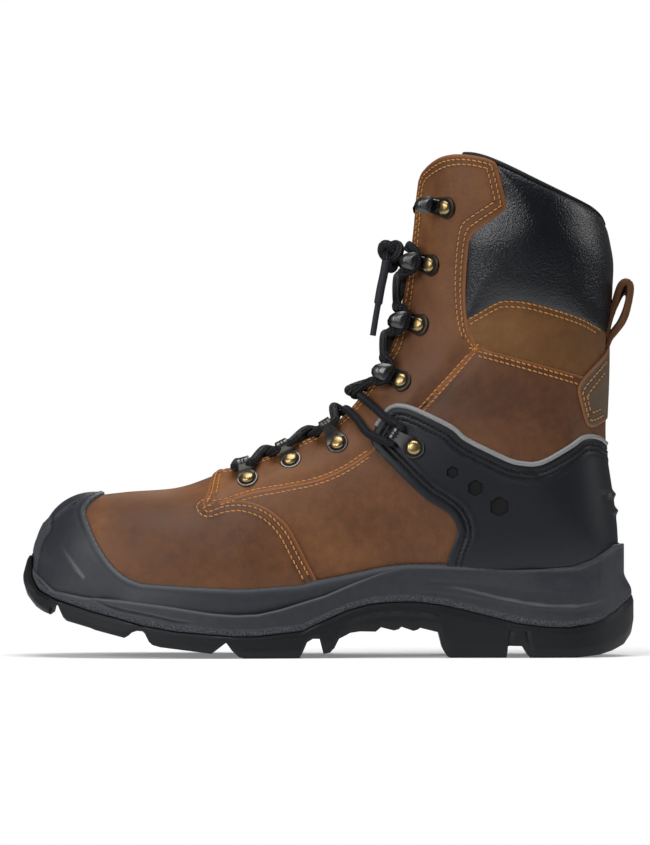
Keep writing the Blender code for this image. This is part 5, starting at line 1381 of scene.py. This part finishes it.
class Builder:  # collects points in a fitting's own frame: forward, across, up
    def __init__(self, place):
        self.place, self.verts, self.faces, self.mats = place, [], [], []

    def add(self, points, faces, material=0):
        origin, forward, sideways, up = self.place
        first = len(self.verts)
        self.verts += [origin + forward * f + sideways * c + up * h for f, c, h in points]
        self.faces += [tuple(i + first for i in face) for face in faces]
        self.mats += [material] * len(faces)

    def rings(self, rings, material=0, closeTop=True):
        count = len(rings[0])
        points = [p for ring in rings for p in ring]
        faces = gridFaces(len(rings), count, True)
        if closeTop:
            faces.append(tuple(range((len(rings) - 1) * count, len(rings) * count)))
        self.add(points, faces, material)

    def plate(self, outline, low, high, bevel, crown, material=0):
        middle = np.mean(outline, axis=0)
        rings = []
        for scale, h in ((1.0, low), (1.0, high - bevel), (1.0 - bevel / 4, high - bevel * 0.3),
                         (1.0 - bevel / 2.2, high), (0.6, high + crown * 0.7), (0.25, high + crown)):
            rings.append([(*(middle + (np.array(q) - middle) * scale), h) for q in outline])
        self.rings(rings, material)

    def strip(self, path, width, thickness, material=0):  # a bent sheet: path of (forward, up), half width by place
        path = np.asarray(path, float)
        along = unit(np.gradient(path, axis=0))
        out = np.stack([-along[:, 1], along[:, 0]], axis=1)
        rings = []
        for k, (f, h) in enumerate(path):
            w, t = width(k / (len(path) - 1), f), thickness / 2
            shape = ((-w, -t), (w, -t), (w, t * 0.4), (w - 0.3, t), (-w + 0.3, t), (-w, t * 0.4))
            rings.append([(f + out[k, 0] * b, c, h + out[k, 1] * b) for c, b in shape])
        points = [p for ring in rings for p in ring]
        faces = gridFaces(len(rings), 6, True) + [(5, 4, 3, 2, 1, 0), tuple(range(len(points) - 6, len(points)))]
        self.add(points, faces, material)

    def make(self, name, materialNames, slot, *nodes):
        piece = newMesh(name, self.verts, self.faces)
        reworked(piece, lambda bm: bmesh.ops.recalc_face_normals(bm, faces=bm.faces))
        sharpen(piece, 40.0)
        settle(piece, materialNames[0], slot, *nodes)
        for extra in materialNames[1:]:
            piece.data.materials.append(materials[extra])
        if len(piece.data.polygons) == len(self.mats):
            piece.data.polygons.foreach_set("material_index", self.mats)
        return piece


def arc(centre, radius, start, end, count):  # from start to end in degrees
    turn = np.radians(np.linspace(start, end, count))
    return [(centre[0] + radius * math.cos(a), centre[1] + radius * math.sin(a)) for a in turn]


def teardrop(radius, tipAt, tipHalf, count=16):
    return arc((0.0, 0.0), radius, 105, 255, count) + [(tipAt, -tipHalf), (tipAt, tipHalf)]


def makeRivet(name, place, base):
    built = Builder(place)
    radius, high = fittings["rivetRadius"], fittings["rivetHeight"]
    rings = []
    for scale, h in fittings["rivetSteps"]:
        rings.append([(f * scale, c * scale, base + high * h) for f, c in circle(radius, 24)])
    built.rings(rings)
    return built.make(name, ["brass"], "rivet", name.replace("_head", ""))


def rivetRing(built, base, material):  # dark seat round the rivet
    outerRing, innerRing = circle(fittings["rivetRadius"] + 0.85, 24), circle(fittings["rivetRadius"] - 0.2, 24)
    steps = ((outerRing, base), (outerRing, base + 0.12), (innerRing, base + 0.12))
    built.rings([[(f, c, h) for f, c in ring] for ring, h in steps], material, False)


hookCap = [(15, -0.6), (14.3, -2.6), (12.8, -3.9), (10.4, -4.3), (7.6, -4.2), (6.4, -3.7), (5.9, 0), (5.5, 4),
           (6, 4.7), (8, 4.6), (10.6, 3.9),
           (13, 2.6), (14.5, 1)]


def makeHook(name, place, turned):
    built = Builder(place)
    plate = fittings["plate"]
    built.plate(teardrop(5.9, 9.0, 3.7), 0.0, plate, 0.3, 0.0, 2)
    rivetRing(built, plate, 1)
    built.place = turned
    bend = [(4.0, 0.5)] + arc((9.6, 3.7), 3.2, -90, 90, 11) + [(8.0, 6.9)]
    built.strip(bend, lambda t, f: 3.2, 1.0)
    built.plate(hookCap, 6.3, 7.6, 0.6, 0.5)
    inset = [(9.6 + (f - 10.2) * 0.46, 0.1 + c * 0.46) for f, c in hookCap]
    built.plate(inset, 7.8, 8.25, 0.4, 0.05)
    return built.make(name, ["gunmetal", "binding", "bronze"], "hook", name.replace("_cast", ""))


def loopReach(row):
    return max(fittings["leastLoop"], math.hypot(row[2] - row[0], row[3] - row[1]))


def makeLoop(name, place, row, onCounter):
    built = Builder(place)
    reach, radius = loopReach(row), fittings["loopRadius"]
    centre = (reach - radius, radius + 0.1)
    back = [(-5.45, 0.5), (-5.2, 0.5), (-4.6, 0.5), (-3.6, 0.5), (-2.0, 0.5), (0.0, 0.55), (2.0, 0.75)]
    roll = arc(centre, radius - 0.5, 128, -80, 18)
    path = smoothRun(back + [(3.4 + (centre[0] - 5.2) * 0.35, 2.4)] + roll + [(centre[0] - 4.0, 0.5)], 0.6)
    wide, narrow = 5.5, 3.0

    def width(t, f):
        if f < 0.0 and t < 0.5:
            return math.sqrt(max(0.2, wide ** 2 - f * f))
        return wide + (narrow - wide) * float(ease(f, 0.0, max(5.0, reach - 5.0)))

    built.strip(path, width, 1.0)
    rivetRing(built, 1.1, 1)
    built.plate([(3.6, -2.7), (4.3, -2.1), (6.0, 0.0), (4.3, 2.1), (3.6, 2.7), (4.2, 0.0)], 1.6, 2.3, 0.1, 0.0, 1)
    ridge = arc(centre, radius + 0.02, 132, 62, 8)
    for c in (-0.75, 0.75):
        points = [(f, c + w, h) for f, h in ridge for w in (-0.32, 0.32)]
        built.add(points, [(2 * k, 2 * k + 1, 2 * k + 3, 2 * k + 2) for k in range(len(ridge) - 1)], 1)
    return built.make(name, ["gunmetal" if onCounter else "steel", "binding"], "loop", name.replace("_bent", ""))


frames = {}
for s, sideName in ((outer, "outer"), (inner, "inner")):
    for kind in ("hooks", "loops"):
        for k, row in enumerate(fittings[kind]):
            onCounter = kind == "loops" and k == 0
            place = fitFrame(row, s, fittings["counter"] if onCounter else fittings["panel"],
                             0.0 if kind == "hooks" else 0.2)
            frames[kind, k, s] = place
            if kind == "hooks":
                frames[kind, k, s] = fitFrame(row, s, fittings["panel"], 0.5)
                makeHook(f"hook_{sideName}_{k + 1}_cast", place, frames[kind, k, s])
            else:
                makeLoop(f"loop_{sideName}_{k + 1}_bent", place, row, onCounter)
            makeRivet(f"rivet_{sideName}_{k + 1 + (4 if kind == 'loops' else 0)}_head", place, fittings["plate"])
print("fittings ready")

# Lace: two strands that cross from side to side; stops from the lowest loop up
lace = {"radius": 2.2, "sides": 12, "step": 0.7, "over": 4.4, "under": 0.3, "bar": 3.6,
        "strapIn": [(345.5, 411), (352, 414.5), (361, 423), (371, 436)],
        "strapOut": [(389, 421), (379, 411.5), (368, 402), (360.5, 395)],
        "roundHook": ((14.2, -7, 1.4), (10, -5.8, 2.8), (7, -2.6, 3.4), (6.7, 0, 3.5), (7, 2.8, 3.4),
                      (10, 6, 2.8), (14, 7.4, 1.4)),
        "crossLow": (341, 410), "crossHigh": (356, 389), "crossLifts": (2.6, 6.4)}
stops = [("loops", 3), ("loops", 2), ("loops", 1), ("loops", 0), ("hooks", 3), ("hooks", 2), ("hooks", 1)]


def overThroat(s, y, lift):  # a point over the front of the last
    t = float(across(np.array([s]), abs(y))[0]) * (-1 if y < 0 else 1)
    pos, normal = onLast(np.array([s]), np.array([t]))
    return pos[0] + normal[0] * lift


def throughFitting(kind, k, s):  # points from below to above
    origin, forward, sideways, up = frames[kind, k, s]
    rise = sideways * (1.0 if sideways[2] + sideways[0] * 0.5 > 0 else -1.0)
    if kind == "loops":
        radius = fittings["loopRadius"]
        middle = origin + forward * (loopReach(fittings["loops"][k]) - radius) + up * (radius + 0.1)
        return [middle - rise * 4.6 - up * 0.3, middle, middle + rise * 4.6 - up * 0.3]
    return [origin + forward * f + rise * c + up * h for f, c, h in lace["roundHook"]]


stopS = []
for kind, k in stops:
    row = fittings[kind][k]
    stopS.append(float(seen([((row[0] + row[2]) / 2, (row[1] + row[3]) / 2)])[0, 0]))


def overLeather(points, s):  # photo points on the outside of the upper, a lace radius up
    pos, normal = placed(flat(fromPhoto(points), s))
    return list(onTop(pos, normal, leatherTrees + counterTree, -lace["radius"]))


def strand(first):
    points = [overThroat(stopS[0] - 4.0, 0.0, lace["bar"]), overThroat(stopS[0] - 4.5, first * 8.0, lace["bar"])]
    for n, (kind, k) in enumerate(stops):
        s = first if n % 2 == 0 else -first
        if (kind, k) == ("loops", 0):
            low, high = seen(fromPhoto([lace["crossLow"], lace["crossHigh"]]))[:, 0]
            lifts = lace["crossLifts"][::first]
            points.append(overThroat(float(low), 0.0, lifts[0]))
            points += overLeather(lace["strapIn"], s) + throughFitting(kind, k, s) + overLeather(lace["strapOut"], s)
            points.append(overThroat(float(high), 0.0, lifts[1]))
            continue
        points += throughFitting(kind, k, s)
        if n + 1 < len(stops) and stops[n + 1] != ("loops", 0):
            top = lace["over"] if (n + (first == outer)) % 2 else lace["under"]
            middle = (stopS[n] + stopS[n + 1]) / 2
            points.append(overThroat(middle, 0.0, top))
    return points


def laceTube(name, points, *nodes):
    path = evenRun(smoothRun(points, 0.5), lace["step"])
    up, ups = np.array([0.0, -1.0, 0.3]), []
    for direction in unit(np.gradient(path, axis=0)):
        up = up - direction * up.dot(direction)
        up /= max(np.linalg.norm(up), 1e-9)
        ups.append(up)
    count = lace["sides"]
    piece = sweep(name, path, ups, circle(lace["radius"], count))
    attribute(piece, "run", np.repeat(runOf(path), count))
    attribute(piece, "turn", np.tile(np.arange(count) / count, len(path)))
    return settle(piece, "lace", "lace", *nodes)


crossings = [f"lace_{n}" for n in range(1, 8)]
laceTube("lace_strand_a", strand(outer), *crossings)
laceTube("lace_strand_b", strand(inner), *crossings)

# Knot, and the end that hangs from it: photo pixels and depth, thinner at the tip
laceEnd = {"knot": (31.2, -25.0, 204.4), "knotSize": (1.7, 2.8, 2.5), "tipScale": 0.72,
           "cord": ((386.5, 262.0, -28.5), (384.0, 276.0, -29.5), (381.0, 290.0, -30.0), (378.6, 304.0, -30.2)),
           "tip": ((378.6, 304.0, -30.2), (376.0, 319.0, -30.3), (373.2, 336.5, -30.4))}
wide, deep, high = laceEnd["knotSize"]
knotPath = [np.array(laceEnd["knot"]) + ((math.sin(t) + 2 * math.sin(2 * t)) * wide, -math.sin(3 * t) * deep,
                                         (math.cos(t) - 2 * math.cos(2 * t)) * high)
            for t in np.linspace(0.0, 2 * math.pi, 60)[:-1]]
knot = laceTube("lace_knot_tied", knotPath + knotPath[:2], "lace_knot")


def hangingRun(part):
    places = fromPhoto([row[:2] for row in laceEnd[part]])
    return evenRun(smoothRun([(x, row[2], z) for (x, z), row in zip(places, laceEnd[part])], 0.5), 0.8)


cordRun = hangingRun("cord")
wholeRun = np.concatenate([cordRun, hangingRun("tip")[1:]])
curve = bpy.data.curves.new("lace_tail", "CURVE")
curve.dimensions = "3D"
curve.bevel_depth = lace["radius"] * mm
curve.bevel_resolution = 4
curve.use_fill_caps = True
line = curve.splines.new("POLY")
line.points.add(len(wholeRun) - 1)
for n, (point, place) in enumerate(zip(line.points, wholeRun)):
    point.co = (*(place * mm), 1.0)
    point.radius = 1.0 if n < len(cordRun) else laceEnd["tipScale"]
tail = bpy.data.objects.new("lace_tail", curve)
bpy.context.scene.collection.objects.link(tail)
settle(tail, "lace", "lace", "lace_end")

view = {"place": (-0.0022, -4.0, 0.1190), "sensor": 36.0, "across": 0.4315}  # metres across at the boot
camera = bpy.data.objects.new("camera", bpy.data.cameras.new("camera"))
bpy.context.scene.collection.objects.link(camera)
camera.data.sensor_width = view["sensor"]
camera.data.lens = view["sensor"] * -view["place"][1] / view["across"]
camera.location = view["place"]
camera.rotation_euler = (math.pi / 2, 0.0, 0.0)
bpy.context.scene.camera = camera

# Studio: white surroundings for the camera, weaker as light, soft boxes and a pale floor
studio = {
    "fill": 0.10, "floor": (0.93, 0.93, 0.93, 1.0), "floorGlow": 0.20, "floorRough": 0.7, "floorShine": 0.1,
    "floorHalf": (420.0, 330.0),
    "boxes": (  # place, target, width, depth, watts
        ("top", (0.0, -0.3, 1.6), (0.0, 0.0, 0.1), 1.3, 0.9, 19.0),
        ("left", (-0.95, -1.9, 0.95), (0.0, 0.0, 0.13), 0.45, 0.8, 13.5),
        ("edge", (-1.75, -1.35, 0.75), (0.0, 0.0, 0.18), 0.3, 1.1, 14.0),
        ("right", (2.0, 0.15, 0.9), (0.0, 0.0, 0.15), 0.6, 1.0, 9.0),
        ("back", (0.4, 1.6, 1.2), (0.0, 0.0, 0.15), 1.2, 0.8, 8.0)),
}
world = bpy.data.worlds.new("studio")
bpy.context.scene.world = world
world.use_nodes = True
tree = world.node_tree
isCamera = node(tree, "ShaderNodeLightPath", {}).outputs["Is Camera Ray"]
tree.links.new(ramp(tree, isCamera, 0.0, 1.0, studio["fill"], 1.0), tree.nodes["Background"].inputs["Strength"])
tree.nodes["Background"].inputs["Color"].default_value = (1.0, 1.0, 1.0, 1.0)
for name, place, target, width, depth, power in studio["boxes"]:
    light = bpy.data.lights.new(name, "AREA")
    light.shape, light.size, light.size_y, light.energy = "RECTANGLE", width, depth, power
    box = bpy.data.objects.new(name, light)
    bpy.context.scene.collection.objects.link(box)
    box.location = place
    box.rotation_euler = (Vector(target) - Vector(place)).to_track_quat("-Z", "Y").to_euler()
wide, deep = studio["floorHalf"]
corners = [(a * wide, b * deep, -0.05) for a, b in ((-1, -1), (1, -1), (1, 1), (-1, 1))]
floor = newMesh("floor", corners, [(0, 1, 2, 3)], False)
floorMaterial, tree, shader, where = startMaterial("pale floor")
shader.inputs["Base Color"].default_value = studio["floor"]
shader.inputs["Roughness"].default_value = studio["floorRough"]
shader.inputs["Specular IOR Level"].default_value = studio["floorShine"]
shader.inputs["Emission Color"].default_value = (1.0, 1.0, 1.0, 1.0)
shader.inputs["Emission Strength"].default_value = studio["floorGlow"]
floor.data.materials.append(floorMaterial)
bpy.context.scene.view_settings.view_transform = "Standard"
low, high = np.full(3, 9.0), np.full(3, -9.0)
for piece in settled:
    for corner in piece.bound_box:
        at = np.array(piece.matrix_world @ Vector(corner))
        low, high = np.minimum(low, at), np.maximum(high, at)
